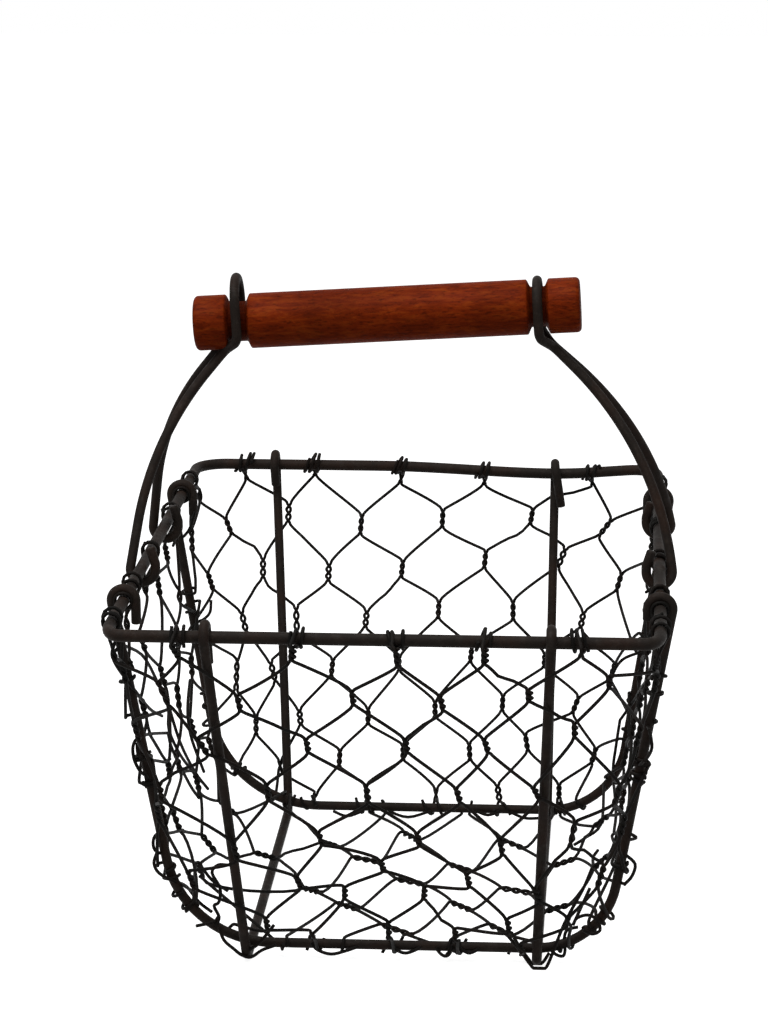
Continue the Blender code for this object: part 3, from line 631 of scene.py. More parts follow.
def tube(line, radius, sides, closed=False, end_edge=0.0):
    """A round wire: a circle extruded from point to point, with capped and softened ends."""
    bm = bmesh.new()
    places = ring_places(line, closed)
    bmesh.ops.create_circle(bm, cap_ends=not closed, segments=sides, radius=radius, matrix=places[0])
    ring = list(bm.edges)
    first = list(ring)
    for before, after in zip(places, places[1:]):
        grown = bmesh.ops.extrude_edge_only(bm, edges=ring)["geom"]
        verts = [part for part in grown if isinstance(part, bmesh.types.BMVert)]
        fresh = set(verts)
        edges = [part for part in grown if isinstance(part, bmesh.types.BMEdge)]
        ring = [edge for edge in edges if fresh.issuperset(edge.verts)]
        bmesh.ops.transform(bm, matrix=after @ before.inverted(), verts=verts)
    if closed:
        bmesh.ops.bridge_loops(bm, edges=ring + first)
    else:
        bmesh.ops.contextual_create(bm, geom=ring)
        if end_edge:
            rims = [edge for edge in bm.edges if any(len(face.verts) == sides for face in edge.link_faces)]
            bmesh.ops.bevel(
                bm, geom=rims, offset=end_edge, affect="EDGES", segments=2, profile=0.5, material=-1,
                clamp_overlap=True,
            )
    bmesh.ops.recalc_face_normals(bm, faces=bm.faces)
    return bm


def finished_object(name, bm, finish, body, nodes=()):
    """A piece with its place in its mesh, riding on its body."""
    mesh = bpy.data.meshes.new(name)
    bm.to_mesh(mesh)
    bm.free()
    mesh.shade_smooth()
    mesh.set_sharp_from_angle(angle=SHARP_EDGE)
    mesh.materials.append(finish)
    made = bpy.data.objects.new(name, mesh)
    bpy.context.scene.collection.objects.link(made)
    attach(made, body)
    if nodes:
        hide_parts(*nodes)
    return made


def joined(tubes):
    """Several bmeshes as one."""
    whole = bmesh.new()
    for bm in tubes:
        mesh = bpy.data.meshes.new("strand")
        bm.to_mesh(mesh)
        bm.free()
        whole.from_mesh(mesh)
        bpy.data.meshes.remove(mesh)
    return whole


class EndSheet:
    """The sheet of netting outside the ribs at one end. Its wings turn the corners and end at the hoop's
    legs."""

    def __init__(self, end, hoop):
        self.end = end
        self.hoop = hoop
        self.tie_leans = REAR_TIE_LEANS if end > 0 else FRONT_TIE_LEANS
        self.foot_y = abs(hoop.foot_y) + RIB_SETBACK
        foot = (self.foot_y, RIB_RADIUS_DOWN)
        rib_top = outer_tangent((BAR_HALF, RIM_HEIGHT), HOOK_RADIUS, foot, RIM_HEIGHT)
        self.slope = (rib_top - self.foot_y) / (RIM_HEIGHT - RIB_RADIUS_DOWN)
        self.lean = math.atan(self.slope)
        self.length = (END_NET_TOP - END_NET_FOOT) / math.cos(self.lean)

    def height(self, down):
        """The height of this place down the slope."""
        return END_NET_TOP - down * math.cos(self.lean)

    def squeeze(self, down):
        """How wide a cell is here, as a share of its width at the top."""
        return mix(1, END_FOOT_SHARE, down / self.length)

    def corner(self, height, side):
        """Where the sheet leaves its flat face at this height: how far out, and how deep."""
        face = self.foot_y + self.slope * (height - RIB_RADIUS_DOWN)
        face += ((FRAME_WIRE + 2 * NET_WIRE) / 2 + CLEARANCE) / math.cos(self.lean)
        half = RAIL_HALF - mix(END_CORNER_FOOT_IN, END_CORNER_TOP_IN, height / RIM_HEIGHT)
        return Vector((max(min(half, self.hoop.half(height, side)), RIB_REACH), face))

    def wing_end(self, height, side):
        """Where the wing meets the hoop's leg at this height, in the same measures."""
        corner = self.corner(height, side)
        half = self.hoop.half(height, side)
        if half <= corner.x:
            return corner
        beside = abs(self.hoop.depth(height)) + FRAME_WIRE / 2 + NET_WIRE + CLEARANCE
        return Vector((half, min(beside, corner.y)))

    def margin_share(self, down):
        """An end sheet's margin is the same all the way down."""
        return CELL_MARGIN_SHARE

    def limits(self, down):
        """How far the sheet reaches to the left and the right, as measured at its top."""
        height = self.height(down)
        reaches = []
        for side in (-1, 1):
            corner = self.corner(height, side)
            reaches.append((corner.x + (self.wing_end(height, side) - corner).length) / self.squeeze(down))
        return -reaches[0], reaches[1]

    def place(self, across, down):
        """The point of the sheet at this flat place, on its face or on a wing."""
        height = self.height(down)
        corner = self.corner(height, across)
        past = abs(across) * self.squeeze(down) - corner.x
        if past <= 0:
            flat = Vector((corner.x + past, corner.y))
        else:
            wing = self.wing_end(height, across) - corner
            flat = corner + wing.normalized() * past if wing.length > TINY else corner
        return Vector((math.copysign(flat.x, across), self.end * flat.y, height))

    def side_wire(self, side, down):
        """The hoop's leg beside the sheet: a place on its centre line, and the way down it."""
        places = []
        for height in (self.height(down), self.height(down) - FRAME_WIRE):
            places.append(Vector((side * self.hoop.half(height, side), self.hoop.depth(height), height)))
        return places[0], (places[1] - places[0]).normalized()

    def rim_wire(self, across, down):
        """The bar or rail above this place: a point on its centre line, and its way."""
        edge = self.place(across, 0)
        run = RIM_REAR_CORNER_X if self.end > 0 else RIM_FRONT_CORNER_X
        if abs(edge.x) < RAIL_HALF - run and abs(edge.y) > BAR_HALF:
            height = RIM_HEIGHT - bar_sag(edge.x, self.end)
            return Vector((edge.x, self.end * BAR_HALF, height)), Vector((1, 0, 0))
        depth = min(abs(edge.y), BAR_HALF - (REAR_CORNER_TIE_IN if self.end > 0 else FRONT_CORNER_TIE_IN))
        return Vector((math.copysign(RAIL_HALF, edge.x), self.end * depth, RIM_HEIGHT)), Vector((0, 1, 0))

    def foot_wire(self, across, down):
        """The hoop's lower run under the sheet's foot."""
        half = min(abs(self.place(across, down).x), self.hoop.foot_half)
        places = []
        for x in (half, half - FRAME_WIRE):
            height = HOOP_FOOT_HEIGHT
            while self.hoop.half(height, across) < x:
                height += NET_WIRE
            places.append(Vector((math.copysign(x, across), self.hoop.depth(height), height)))
        return places[0], (places[0] - places[1]).normalized()


class TroughSheet:
    """The sheet that goes down one side, across the base and up the other side, between the two hoops."""

    def __init__(self, front, rear):
        self.tie_leans = RAIL_TIE_LEANS
        self.front = front.section(TROUGH_TOP)
        self.rear = rear.section(TROUGH_TOP)
        self.length = sum((b - a).length for a, b in zip(self.front, self.front[1:]))

    def along(self, line, share):
        """The point at this share of a line's length."""
        whole = sum((b - a).length for a, b in zip(line, line[1:]))
        left = max(share, 0) * whole
        for a, b in zip(line, line[1:]):
            if left <= (b - a).length:
                return a.lerp(b, left / (b - a).length)
            left -= (b - a).length
        return line[-1]

    def margin_share(self, down):
        """The base's cells stop further from the hoops than the sides' cells."""
        height = self.along(self.front, down / self.length).z
        return BASE_MARGIN_SHARE if height < HOOP_FOOT_HEIGHT + FRAME_WIRE else CELL_MARGIN_SHARE

    def limits(self, down):
        """The sheet's two edges, just inside the front and the rear hoop."""
        share = down / self.length
        room = FRAME_WIRE / 2 + NET_WIRE + CLEARANCE
        return self.along(self.front, share).y + room, self.along(self.rear, share).y - room

    def place(self, across, down):
        """The point of the sheet between the two hoops."""
        share = down / self.length
        front = self.along(self.front, share)
        rear = self.along(self.rear, share)
        return front.lerp(rear, (across - front.y) / (rear.y - front.y))

    def side_wire(self, side, down):
        """The hoop beside the sheet: a place on its centre line, and the way down it."""
        line = self.front if side < 0 else self.rear
        share = min(down / self.length, 1 - NET_WIRE / self.length)
        here = self.along(line, share)
        return here, (self.along(line, share + NET_WIRE / self.length) - here).normalized()

    def stray(self, pixels):
        """The places that a loose strand passes on the side of the sheet. Near the front hoop's leg it is in
        front."""
        places = []
        for pixel in pixels:
            down = self.length * (STRAY_START_SHARE if pixel[0] < PHOTO_WIDTH / 2 else 1 - STRAY_START_SHARE)
            flat = seen_place(self, Vector((0, down)), pixel, STRAY_STEP)
            low, high = self.limits(flat.y)
            beside = flat.x < low + FRAME_WIRE
            places.append(at_depth(pixel, low - STRAY_OUT if beside else min(self.place(*flat).y, high)))
        return places

    def rim_wire(self, across, down):
        """The rail above the sheet's end, and its way."""
        edge = self.place(across, down)
        return Vector((math.copysign(RAIL_HALF, edge.x), edge.y, RIM_HEIGHT)), Vector((0, 1, 0))

    foot_wire = rim_wire


def coil(start, centre, along, wire, turns, pitch, slack, hand, tail, loose_way, lean=0.0):
    """A strand from start that winds round a wire. Its loops stand off on the loose side and lean along the
    wire, and its cut end stands off by the tail."""
    away = start - centre
    away -= along * away.dot(along)
    radius = wire / 2 + NET_WIRE / 2 + slack
    level = away.normalized()
    up = along.cross(level)
    opening = math.acos(min(radius / max(away.length, radius + TINY), 1))
    line = []
    steps = round(turns * COIL_STEPS)
    for step in range(steps + 1):
        angle = hand * (opening + math.tau * step / COIL_STEPS)
        way = level * math.cos(angle) + up * math.sin(angle)
        reach = radius + max(way.dot(loose_way), 0)
        line.append(centre + way * reach + along * (pitch * step / COIL_STEPS + reach * way.z * lean))
    last = (line[-1] - line[-2]).normalized()
    outward = (line[-1] - centre - along * pitch * turns).normalized()
    line.append(line[-1] + (last * 2 + outward).normalized() * tail)
    return line


class Netting:
    """Hexagonal netting on a sheet. Pairs of strands are twisted where the columns meet, cross there, and go
    on to the next row, so each strand runs slantwise from edge to edge and ends wound round a frame wire. A
    short twist gathers each pair below the rim and above the foot."""

    def __init__(self, sheet, cell_width, rows, seed, seen, loose, offset=0.0, foot_wire=FRAME_WIRE):
        self.sheet = sheet
        self.cell = cell_width
        self.rows = rows
        self.offset = offset
        self.pitch = (sheet.length - STRAND_DROP) / rows
        self.chance = random.Random(seed)
        self.foot_diameter = foot_wire
        self.loose = loose
        self.seen = {place: self.seen_ends(place, pixels) for place, pixels in seen.items()}
        self.twists = {}
        for row in range(-1, rows + 1):
            for column in self.columns(row):
                self.twists[row, column] = self.twist(row, column)

    def columns(self, row):
        """The places in a row that lie inside the sheet, or that the photograph shows."""
        top, bottom = self.regular_ends(row, 0)
        low, high = self.sheet.limits((top.y + bottom.y) / 2)
        margin = self.cell * self.sheet.margin_share(top.y)
        most = math.ceil((high - low) / self.cell) * 2
        inside = [
            column for column in range(-most, most + 1)
            if (column + row) % 2 and low + margin < self.offset + column * self.cell / 2 < high - margin
        ]
        return sorted({*inside, *(column for seen_row, column in self.seen if seen_row == row)})

    def regular_ends(self, row, column):
        """A twist's upper and lower ends on the flat sheet before it is pulled out of shape."""
        across = self.offset + column * self.cell / 2
        top = row * self.pitch + STRAND_DROP
        bottom = (row + 1) * self.pitch
        if row < 0:
            top, bottom = 0, NECK_RUN
        if row == self.rows:
            top, bottom = self.sheet.length - NECK_RUN, self.sheet.length
        return Vector((across, top)), Vector((across, bottom))

    def seen_ends(self, place, pixels):
        """Where on the sheet the twist's ends lie that the photograph shows at these pixels."""
        ends = []
        for flat, pixel in zip(self.regular_ends(*place), (pixels[:2], pixels[2:])):
            ends.append(seen_place(self.sheet, flat, pixel, self.pitch))
        return ends

    def ends(self, row, column):
        """A twist's own ends, or regular ones moved as its neighbours are, weighted by how near they are."""
        if (row, column) in self.seen:
            return self.seen[row, column]
        total = Vector((0, 0))
        weights = 1.0
        for place, seen in self.seen.items():
            weight = 1 / ((place[0] - row) ** 2 + (place[1] - column) ** 2) ** 2
            shift = sum(seen, Vector((0, 0))) - sum(self.regular_ends(*place), Vector((0, 0)))
            total += shift / 2 * weight
            weights += weight
        stray = Vector((self.chance.uniform(-1, 1), self.chance.uniform(-1, 1)))
        stray *= self.cell * PLACE_STRAY_SHARE
        lean = Vector((self.chance.uniform(-1, 1), 0)) * self.cell * TWIST_LEAN_SHARE
        shift = total / weights + stray
        if not 0 <= row < self.rows:
            shift.y = 0
        top, bottom = self.regular_ends(row, column)
        return [self.inside(flat) for flat in (top + shift + lean, bottom + shift - lean)]

    def inside(self, flat):
        """The flat place, moved to lie on the sheet."""
        down = min(max(flat.y, 0), self.sheet.length)
        low, high = self.sheet.limits(down)
        return Vector((min(max(flat.x, low), high), down))

    def twist(self, row, column):
        """The two strands' points round the twist's middle line, from the upper left and from the upper
        right."""
        ends = self.ends(row, column)
        top, bottom = (self.sheet.place(*flat) for flat in ends)
        middle = (ends[0] + ends[1]) / 2
        reach = self.cell * TWIST_SIDE_SHARE
        side = self.sheet.place(middle.x + reach, middle.y) - self.sheet.place(middle.x - reach, middle.y)
        down_way = (bottom - top).normalized()
        side = (side - down_way * side.dot(down_way)).normalized()
        out = side.cross(down_way)
        halves = 1 if (bottom - top).length < SHORT_TWIST else TWIST_HALF_TURNS
        spread = LOOSE_SPREAD if (row, column) in self.loose else 1.0
        steps = halves * HALF_TURN_STEPS
        strands = ([], [])
        for step in range(steps + 1):
            share = step / steps
            angle = math.pi * halves * share
            for strand, start in zip(strands, (math.pi, 0)):
                round_way = side * math.cos(start + angle) * spread + out * math.sin(start + angle)
                strand.append(top.lerp(bottom, share) + round_way * (NET_WIRE / 2))
        return strands

    def slant(self, before, start, end, after):
        """A strand between two twists, a little bowed and sometimes kinked. It sets out as the last points
        lie."""
        length = (end - start).length
        way = (end - start).normalized()
        leave = start + (start - before).normalized() * length * HANDLE_SHARE
        arrive = end + (end - after).normalized() * length * HANDLE_SHARE
        bow = way.orthogonal().normalized() * self.chance.uniform(-1, 1)
        bow += way.cross(bow) * self.chance.uniform(-1, 1)
        kinked = self.chance.random() < KINK_CHANCE
        kink_place = self.chance.uniform(*KINK_PLACES)
        line = []
        for step in range(1, STRAND_STEPS):
            share = step / STRAND_STEPS
            rest = 1 - share
            point = start * rest**3 + leave * (3 * rest**2 * share)
            point += arrive * (3 * rest * share**2) + end * share**3
            point += bow * (BOW_SHARE * length * math.sin(math.pi * share))
            if kinked:
                kink = max(0, 1 - abs(share - kink_place) * KINK_SHARPNESS)
                point += bow * (KINK_LENGTH_SHARE * length * kink)
            line.append(point)
        return line

    def edge_end(self, row, column, way, flat, point):
        """A strand's end at the netting's edge, beside this missing place. The way is towards the next
        column. A tie on a rail keeps clear of the bail's feet."""
        if row < 0 or row >= self.rows:
            down = 0 if row < 0 else self.sheet.length
            if -1 <= row <= self.rows:
                flat = self.inside(Vector((self.offset + column * self.cell / 2, down)))
            return self.rim_end(flat.x, down, way, point)
        down = row * self.pitch + (self.pitch + STRAND_DROP) / 2
        side = math.copysign(1, self.offset + column * self.cell / 2)
        centre, along = self.sheet.side_wire(side, down)
        centre = centre + along * (self.chance.uniform(-1, 1) * self.pitch * SIDE_TIE_SHIFT_SHARE)
        for foot in (LEFT_BAIL if side < 0 else RIGHT_BAIL)["feet"]:
            if centre.z > RIM_HEIGHT / 2 and abs(centre.y - foot) < BAIL_FOOT_ROOM:
                centre.y = foot + math.copysign(BAIL_FOOT_ROOM, centre.y - foot)
        hand = self.chance.choice((-1, 1))
        turns = self.chance.uniform(*SIDE_TIE_TURNS) * (LEVEL_TURN_SHARE if abs(along.z) < LEVEL_WIRE else 1)
        pitch = NET_WIRE * self.chance.uniform(*SIDE_TIE_PITCHES) * self.chance.choice((-1, 1))
        loose = Vector((side, 0, 0)) * self.chance.choice(SIDE_TIE_LOOSE) * NET_WIRE
        tail = self.chance.uniform(*SIDE_TIE_TAILS)
        return coil(point, centre, along, FRAME_WIRE, turns, pitch, TINY, hand, tail, loose)

    def rim_end(self, across, down, way, point):
        """A strand's end at the rim or the foot: it winds away from the strand that it meets there."""
        wire_at, diameter = self.sheet.rim_wire, RIM_WIRE
        if down:
            wire_at, diameter = self.sheet.foot_wire, self.foot_diameter
        centre, along = wire_at(across, down)
        ahead = self.sheet.place(across + NET_WIRE, down) - self.sheet.place(across - NET_WIRE, down)
        lead = way if ahead.dot(along) > 0 else -way
        pitch = lead * NET_WIRE * self.chance.uniform(*RIM_TIE_PITCHES)
        turns = self.chance.uniform(*RIM_TIE_TURNS)
        tail = self.chance.uniform(*RIM_TIE_TAILS)
        start = centre + along * (lead * NET_WIRE * RIM_TIE_LEAD)
        loose = Vector((0, 0, 1)) * self.chance.choice(RIM_TIE_LOOSE) * NET_WIRE
        if down and diameter == FRAME_WIRE:
            pitch *= self.chance.uniform(*FOOT_TIE_STRETCHES)
            turns = self.chance.uniform(*FOOT_TIE_TURNS)
            loose *= 0
        lean = 0.0 if down else self.chance.uniform(*self.sheet.tie_leans)
        return coil(point, start, along, diameter, turns, pitch, CLEARANCE / 2, lead, tail, loose, lean)

    def strands(self):
        """Every strand's line, from its first wound end to its last."""
        lines = []
        for way in (1, -1):
            for row, column in sorted(self.twists):
                if (row - 1, column - way) in self.twists:
                    continue
                here = (row, column)
                first_flat = self.ends(row, column)[0]
                run = []
                while here in self.twists:
                    points = self.twists[here][0 if way > 0 else 1]
                    if run:
                        run += self.slant(run[-2], run[-1], points[0], points[1])
                    run += points
                    last = here
                    here = (here[0] + 1, here[1] + way)
                last_flat = self.ends(*last)[1]
                start = self.edge_end(row - 1, column - way, -way, first_flat, run[0])
                end = self.edge_end(last[0] + 1, last[1] + way, way, last_flat, run[-1])
                first = start[::-1]
                line = first + self.slant(first[-2], first[-1], run[0], run[1]) + run
                lines.append(line + self.slant(line[-2], line[-1], end[0], end[1]) + end)
        return lines


def add_node(tree, kind, place, sockets=None, **settings):
    """A node at a grid place. A socket's value is a constant, or another node's output to link."""
    made = tree.nodes.new(kind)
    made.location = (place[0] * NODE_SPACING, place[1] * NODE_SPACING)
    for key, value in settings.items():
        setattr(made, key, value)
    for key, value in (sockets or {}).items():
        if isinstance(value, bpy.types.NodeSocket):
            tree.links.new(value, made.inputs[key])
        else:
            made.inputs[key].default_value = value
    return made


def noise(tree, place, vector, scale, detail, roughness, distortion=0.0):
    """A noise texture's value along the vector."""
    sockets = {"Vector": vector, "Scale": scale, "Detail": detail, "Roughness": roughness}
    sockets["Distortion"] = distortion
    return add_node(tree, "ShaderNodeTexNoise", place, sockets).outputs["Fac"]


def ranged(tree, place, value, start, end=(0.0, 1.0)):
    """A value taken from one (low, high) range to another."""
    sockets = {"Value": value, "From Min": start[0], "From Max": start[1], "To Min": end[0], "To Max": end[1]}
    return add_node(tree, "ShaderNodeMapRange", place, sockets).outputs["Result"]


def worked_out(tree, place, operation, *values):
    """A sum on plain numbers."""
    sockets = dict(enumerate(values))
    return add_node(tree, "ShaderNodeMath", place, sockets, operation=operation).outputs["Value"]


def mixed(tree, place, share, first, second, blend="MIX"):
    """Two colours, mixed or multiplied by this share."""
    sockets = {"Factor": share, 6: first, 7: second}
    return add_node(tree, "ShaderNodeMix", place, sockets, data_type="RGBA", blend_type=blend).outputs[2]


def scaled(tree, place, vector, scale):
    """The vector, stretched by its own scale on each axis."""
    sockets = {"Vector": vector, "Scale": scale}
    return add_node(tree, "ShaderNodeMapping", place, sockets).outputs["Vector"]


def colour_ramp(tree, place, value, stops):
    """A colour from (position, colour) stops."""
    made = add_node(tree, "ShaderNodeValToRGB", place, {"Fac": value})
    elements = made.color_ramp.elements
    while len(elements) < len(stops):
        elements.new(0.5)
    for element, (position, colour) in zip(elements, stops):
        element.position = position
        element.color = (*colour, 1)
    return made.outputs["Color"]


def aged_wire_group():
    """Dark oxide on drawn wire: broad brown patches, a worn lighter film and fine pits."""
    name = "aged_wire"
    if name in bpy.data.node_groups:
        return bpy.data.node_groups[name]
    group = bpy.data.node_groups.new(name, "ShaderNodeTree")
    new_socket = group.interface.new_socket
    new_socket("Vector", in_out="INPUT", socket_type="NodeSocketVector")
    for label in ("Oxide", "Rust", "Worn"):
        new_socket(label, in_out="INPUT", socket_type="NodeSocketColor")
    amounts = {"Rust Amount": 0.5, "Wear Amount": 0.5, "Patch Scale": 60.0, "Pit Scale": 1200.0}
    for label, value in amounts.items():
        new_socket(label, in_out="INPUT", socket_type="NodeSocketFloat").default_value = value
    new_socket("Colour", in_out="OUTPUT", socket_type="NodeSocketColor")
    for label in ("Roughness", "Height"):
        new_socket(label, in_out="OUTPUT", socket_type="NodeSocketFloat")
    given = add_node(group, "NodeGroupInput", (-5, 0)).outputs
    place, patch_scale = given["Vector"], given["Patch Scale"]

    patches = noise(group, (-4, 1), place, patch_scale, detail=5.0, roughness=0.62, distortion=0.4)
    rust_mask = ranged(group, (-3, 1), patches, (0.45, 0.72))
    rust_share = worked_out(group, (-2, 1), "MULTIPLY", rust_mask, given["Rust Amount"])
    film_scale = worked_out(group, (-5, -1), "MULTIPLY", patch_scale, 4.3)
    film = noise(group, (-4, 0), place, film_scale, detail=6.0, roughness=0.7)
    film_mask = ranged(group, (-3, 0), film, (0.5, 0.78))
    film_share = worked_out(group, (-2, 0), "MULTIPLY", film_mask, given["Wear Amount"])
    pits = noise(group, (-4, -2), place, given["Pit Scale"], detail=3.0, roughness=0.6)

    rusted = mixed(group, (-1, 1), rust_share, given["Oxide"], given["Rust"])
    worn = mixed(group, (0, 1), film_share, rusted, given["Worn"])
    shade = ranged(group, (0, -1), pits, (0.3, 0.7), (0.72, 1.15))
    results = {
        "Colour": mixed(group, (1, 1), 1.0, worn, shade, "MULTIPLY"),
        "Roughness": ranged(group, (1, 0), film_mask, (0.0, 1.0), (0.66, 0.46)),
        "Height": worked_out(group, (1, -1), "MULTIPLY_ADD", pits, 0.6, film),
    }
    add_node(group, "NodeGroupOutput", (4, 0), results)
    return group


def new_material(name):
    """A material, its node tree and its shader."""
    made = bpy.data.materials.new(name)
    made.use_nodes = True
    return made, made.node_tree, made.node_tree.nodes["Principled BSDF"]


def wire_material(name, colours, age):
    """An aged wire's finish from the shared group."""
    if name in bpy.data.materials:
        return bpy.data.materials[name]
    made, tree, shader = new_material(name)
    place = add_node(tree, "ShaderNodeTexCoord", (-4, 0)).outputs["Object"]
    aged = add_node(tree, "ShaderNodeGroup", (-3, 0), node_tree=aged_wire_group())
    for key, colour in zip(("Oxide", "Rust", "Worn"), colours):
        aged.inputs[key].default_value = (*colour, 1)
    aged.inputs["Rust Amount"].default_value = age["rust"]
    aged.inputs["Wear Amount"].default_value = age["wear"]
    relief = {"Strength": 0.35, "Distance": 0.0002, "Height": aged.outputs["Height"]}
    bump = add_node(tree, "ShaderNodeBump", (-2, -1), relief)
    tree.links.new(place, aged.inputs["Vector"])
    tree.links.new(aged.outputs["Colour"], shader.inputs["Base Color"])
    tree.links.new(aged.outputs["Roughness"], shader.inputs["Roughness"])
    tree.links.new(bump.outputs["Normal"], shader.inputs["Normal"])
    shader.inputs["Specular IOR Level"].default_value = age["shine"]
    return made


def wood_material(finishes):
    """Stained dowel: lengthwise grain, open pores, uneven stain, and grooves that are darker."""
    made, tree, shader = new_material("stained_wood")
    place = add_node(tree, "ShaderNodeTexCoord", (-8, 0)).outputs["Object"]
    sockets = {0: place, 1: tuple(GRIP_CENTRE)}
    centred = add_node(tree, "ShaderNodeVectorMath", (-7, 0), sockets, operation="SUBTRACT").outputs["Vector"]
    sockets = {"Vector": centred, "Rotation": (0, GRIP_TILT, 0)}
    turned = add_node(tree, "ShaderNodeMapping", (-6, 0), sockets).outputs["Vector"]

    grain_way = scaled(tree, (-5, 1), turned, GRAIN_SCALE)
    grain = noise(tree, (-4, 1), grain_way, scale=1.0, detail=6.0, roughness=0.7, distortion=0.5)
    stops = ((0.28, finishes.wood_dark), (0.5, finishes.wood_stain), (0.76, finishes.wood_light))
    tones = colour_ramp(tree, (-3, 1), grain, stops)
    blotch = noise(tree, (-4, 2), turned, scale=55.0, detail=4.0, roughness=0.55)
    uneven = ranged(tree, (-3, 2), blotch, (0.3, 0.7), (0.72, 1.2))
    stained = mixed(tree, (-2, 1), 1.0, tones, uneven, "MULTIPLY")
    pore_way = scaled(tree, (-5, -1), turned, PORE_SCALE)
    pores = noise(tree, (-4, -1), pore_way, scale=1.0, detail=2.0, roughness=0.5)
    pore_mask = ranged(tree, (-3, -1), pores, (0.3, 0.46), (0.45, 1.0))
    pored = mixed(tree, (-1, 1), 0.8, stained, pore_mask, "MULTIPLY")

    apart = add_node(tree, "ShaderNodeSeparateXYZ", (-5, -2), {"Vector": turned}).outputs
    across = add_node(tree, "ShaderNodeCombineXYZ", (-4, -2), {"Y": apart["Y"], "Z": apart["Z"]})
    sockets = {0: across.outputs["Vector"]}
    radius = add_node(tree, "ShaderNodeVectorMath", (-3, -2), sockets, operation="LENGTH")
    # The colour is darker towards the bottom of each groove, down to 0.42 at the groove's floor
    depths = (GROOVE_RADIUS, GRIP_RADIUS * GROOVE_DARK_SHARE)
    groove = ranged(tree, (-2, -2), radius.outputs["Value"], depths, (0.42, 1.0))
    grooved = mixed(tree, (0, 1), 1.0, pored, groove, "MULTIPLY")

    relief = worked_out(tree, (-1, -2), "MULTIPLY_ADD", grain, 0.5, pore_mask)
    bump = add_node(tree, "ShaderNodeBump", (0, -2), {"Strength": 0.4, "Distance": 0.0002, "Height": relief})
    tree.links.new(grooved, shader.inputs["Base Color"])
    tree.links.new(ranged(tree, (-1, -1), blotch, (0.3, 0.7), (0.62, 0.5)), shader.inputs["Roughness"])
    tree.links.new(bump.outputs["Normal"], shader.inputs["Normal"])
    shader.inputs["Specular IOR Level"].default_value = WOOD_SHINE
    return made


def frame_finish(finishes):
    """The finish of the rim, hoops, ribs and bails."""
    colours = (finishes.oxide, finishes.rust, finishes.worn)
    return wire_material("aged_frame_wire", colours, FRAME_AGE)


def net_finish(finishes):
    """The finish of the netting."""
    colours = (finishes.net_oxide, finishes.rust, finishes.worn)
    return wire_material("aged_net_wire", colours, NET_AGE)


def grip_body(sizes):
    """The dowel, spun about its own axis and then set in its place."""
    start = -GRIP_LENGTH / 2
    shares = [step / GRIP_EDGE_STEPS for step in range(GRIP_EDGE_STEPS + 1)]
    profile = [(start, 0)]
    for share in shares:
        angle = math.pi / 2 * share
        inwards, drop = 1 - math.cos(angle), 1 - math.sin(angle)
        profile.append((start + GRIP_EDGE * inwards, GRIP_RADIUS - GRIP_EDGE * drop))
    rounded = profile[::-1]
    left, right = start + LEFT_GROOVE["from_end"], -start - RIGHT_GROOVE["from_end"]
    for place, groove in ((left, LEFT_GROOVE), (right, RIGHT_GROOVE)):
        for side in (-1, 1):
            flank = []
            for share in shares:
                x = place + side * (groove["width"] / 2 + GROOVE_CHAMFER * share)
                flank.append((x, mix(GROOVE_RADIUS, GRIP_RADIUS, ease(share))))
            profile += flank if side > 0 else flank[::-1]
    profile += [(-x, radius) for x, radius in rounded]
    bm = bmesh.new()
    verts = [bm.verts.new((x, radius, 0)) for x, radius in profile]
    edges = [bm.edges.new(pair) for pair in zip(verts, verts[1:])]
    long_edges = [edge for edge in edges if edge.calc_length() > GRIP_RADIUS]
    bmesh.ops.subdivide_edges(bm, edges=long_edges, cuts=GRIP_RUN_CUTS)
    geom = list(bm.verts) + list(bm.edges)
    bmesh.ops.spin(
        bm, geom=geom, cent=(0, 0, 0), axis=(1, 0, 0), angle=math.tau, steps=sizes.grip_sides, use_merge=True,
    )
    bmesh.ops.remove_doubles(bm, verts=bm.verts, dist=TINY)
    bmesh.ops.recalc_face_normals(bm, faces=bm.faces)
    place = Matrix.Translation(GRIP_CENTRE) @ Matrix.Rotation(-GRIP_TILT, 4, "Y")
    bmesh.ops.transform(bm, matrix=place, verts=bm.verts)
    return bm


class BasketSizes(bpy.types.PropertyGroup):
    """Diameters of the wires and the fineness of the grip."""

    rim_wire: bpy.props.FloatProperty(
        name="Rim wire", description="Diameter of the rim ring's wire",
        default=RIM_WIRE, min=0.001, unit="LENGTH",
    )
    frame_wire: bpy.props.FloatProperty(
        name="Frame wire", description="Diameter of the hoops, ribs and bails",
        default=FRAME_WIRE, min=0.001, unit="LENGTH",
    )
    net_wire: bpy.props.FloatProperty(
        name="Netting wire", description="Diameter of the netting's strands",
        default=NET_WIRE, min=0.0003, unit="LENGTH",
    )
    wire_edge: bpy.props.FloatProperty(
        name="Cut edge", description="Rounding of a cut wire's end",
        default=0.0005, min=0.0, unit="LENGTH",
    )
    grip_sides: bpy.props.IntProperty(
        name="Grip sides", description="Steps round the grip", default=72, min=12,
    )


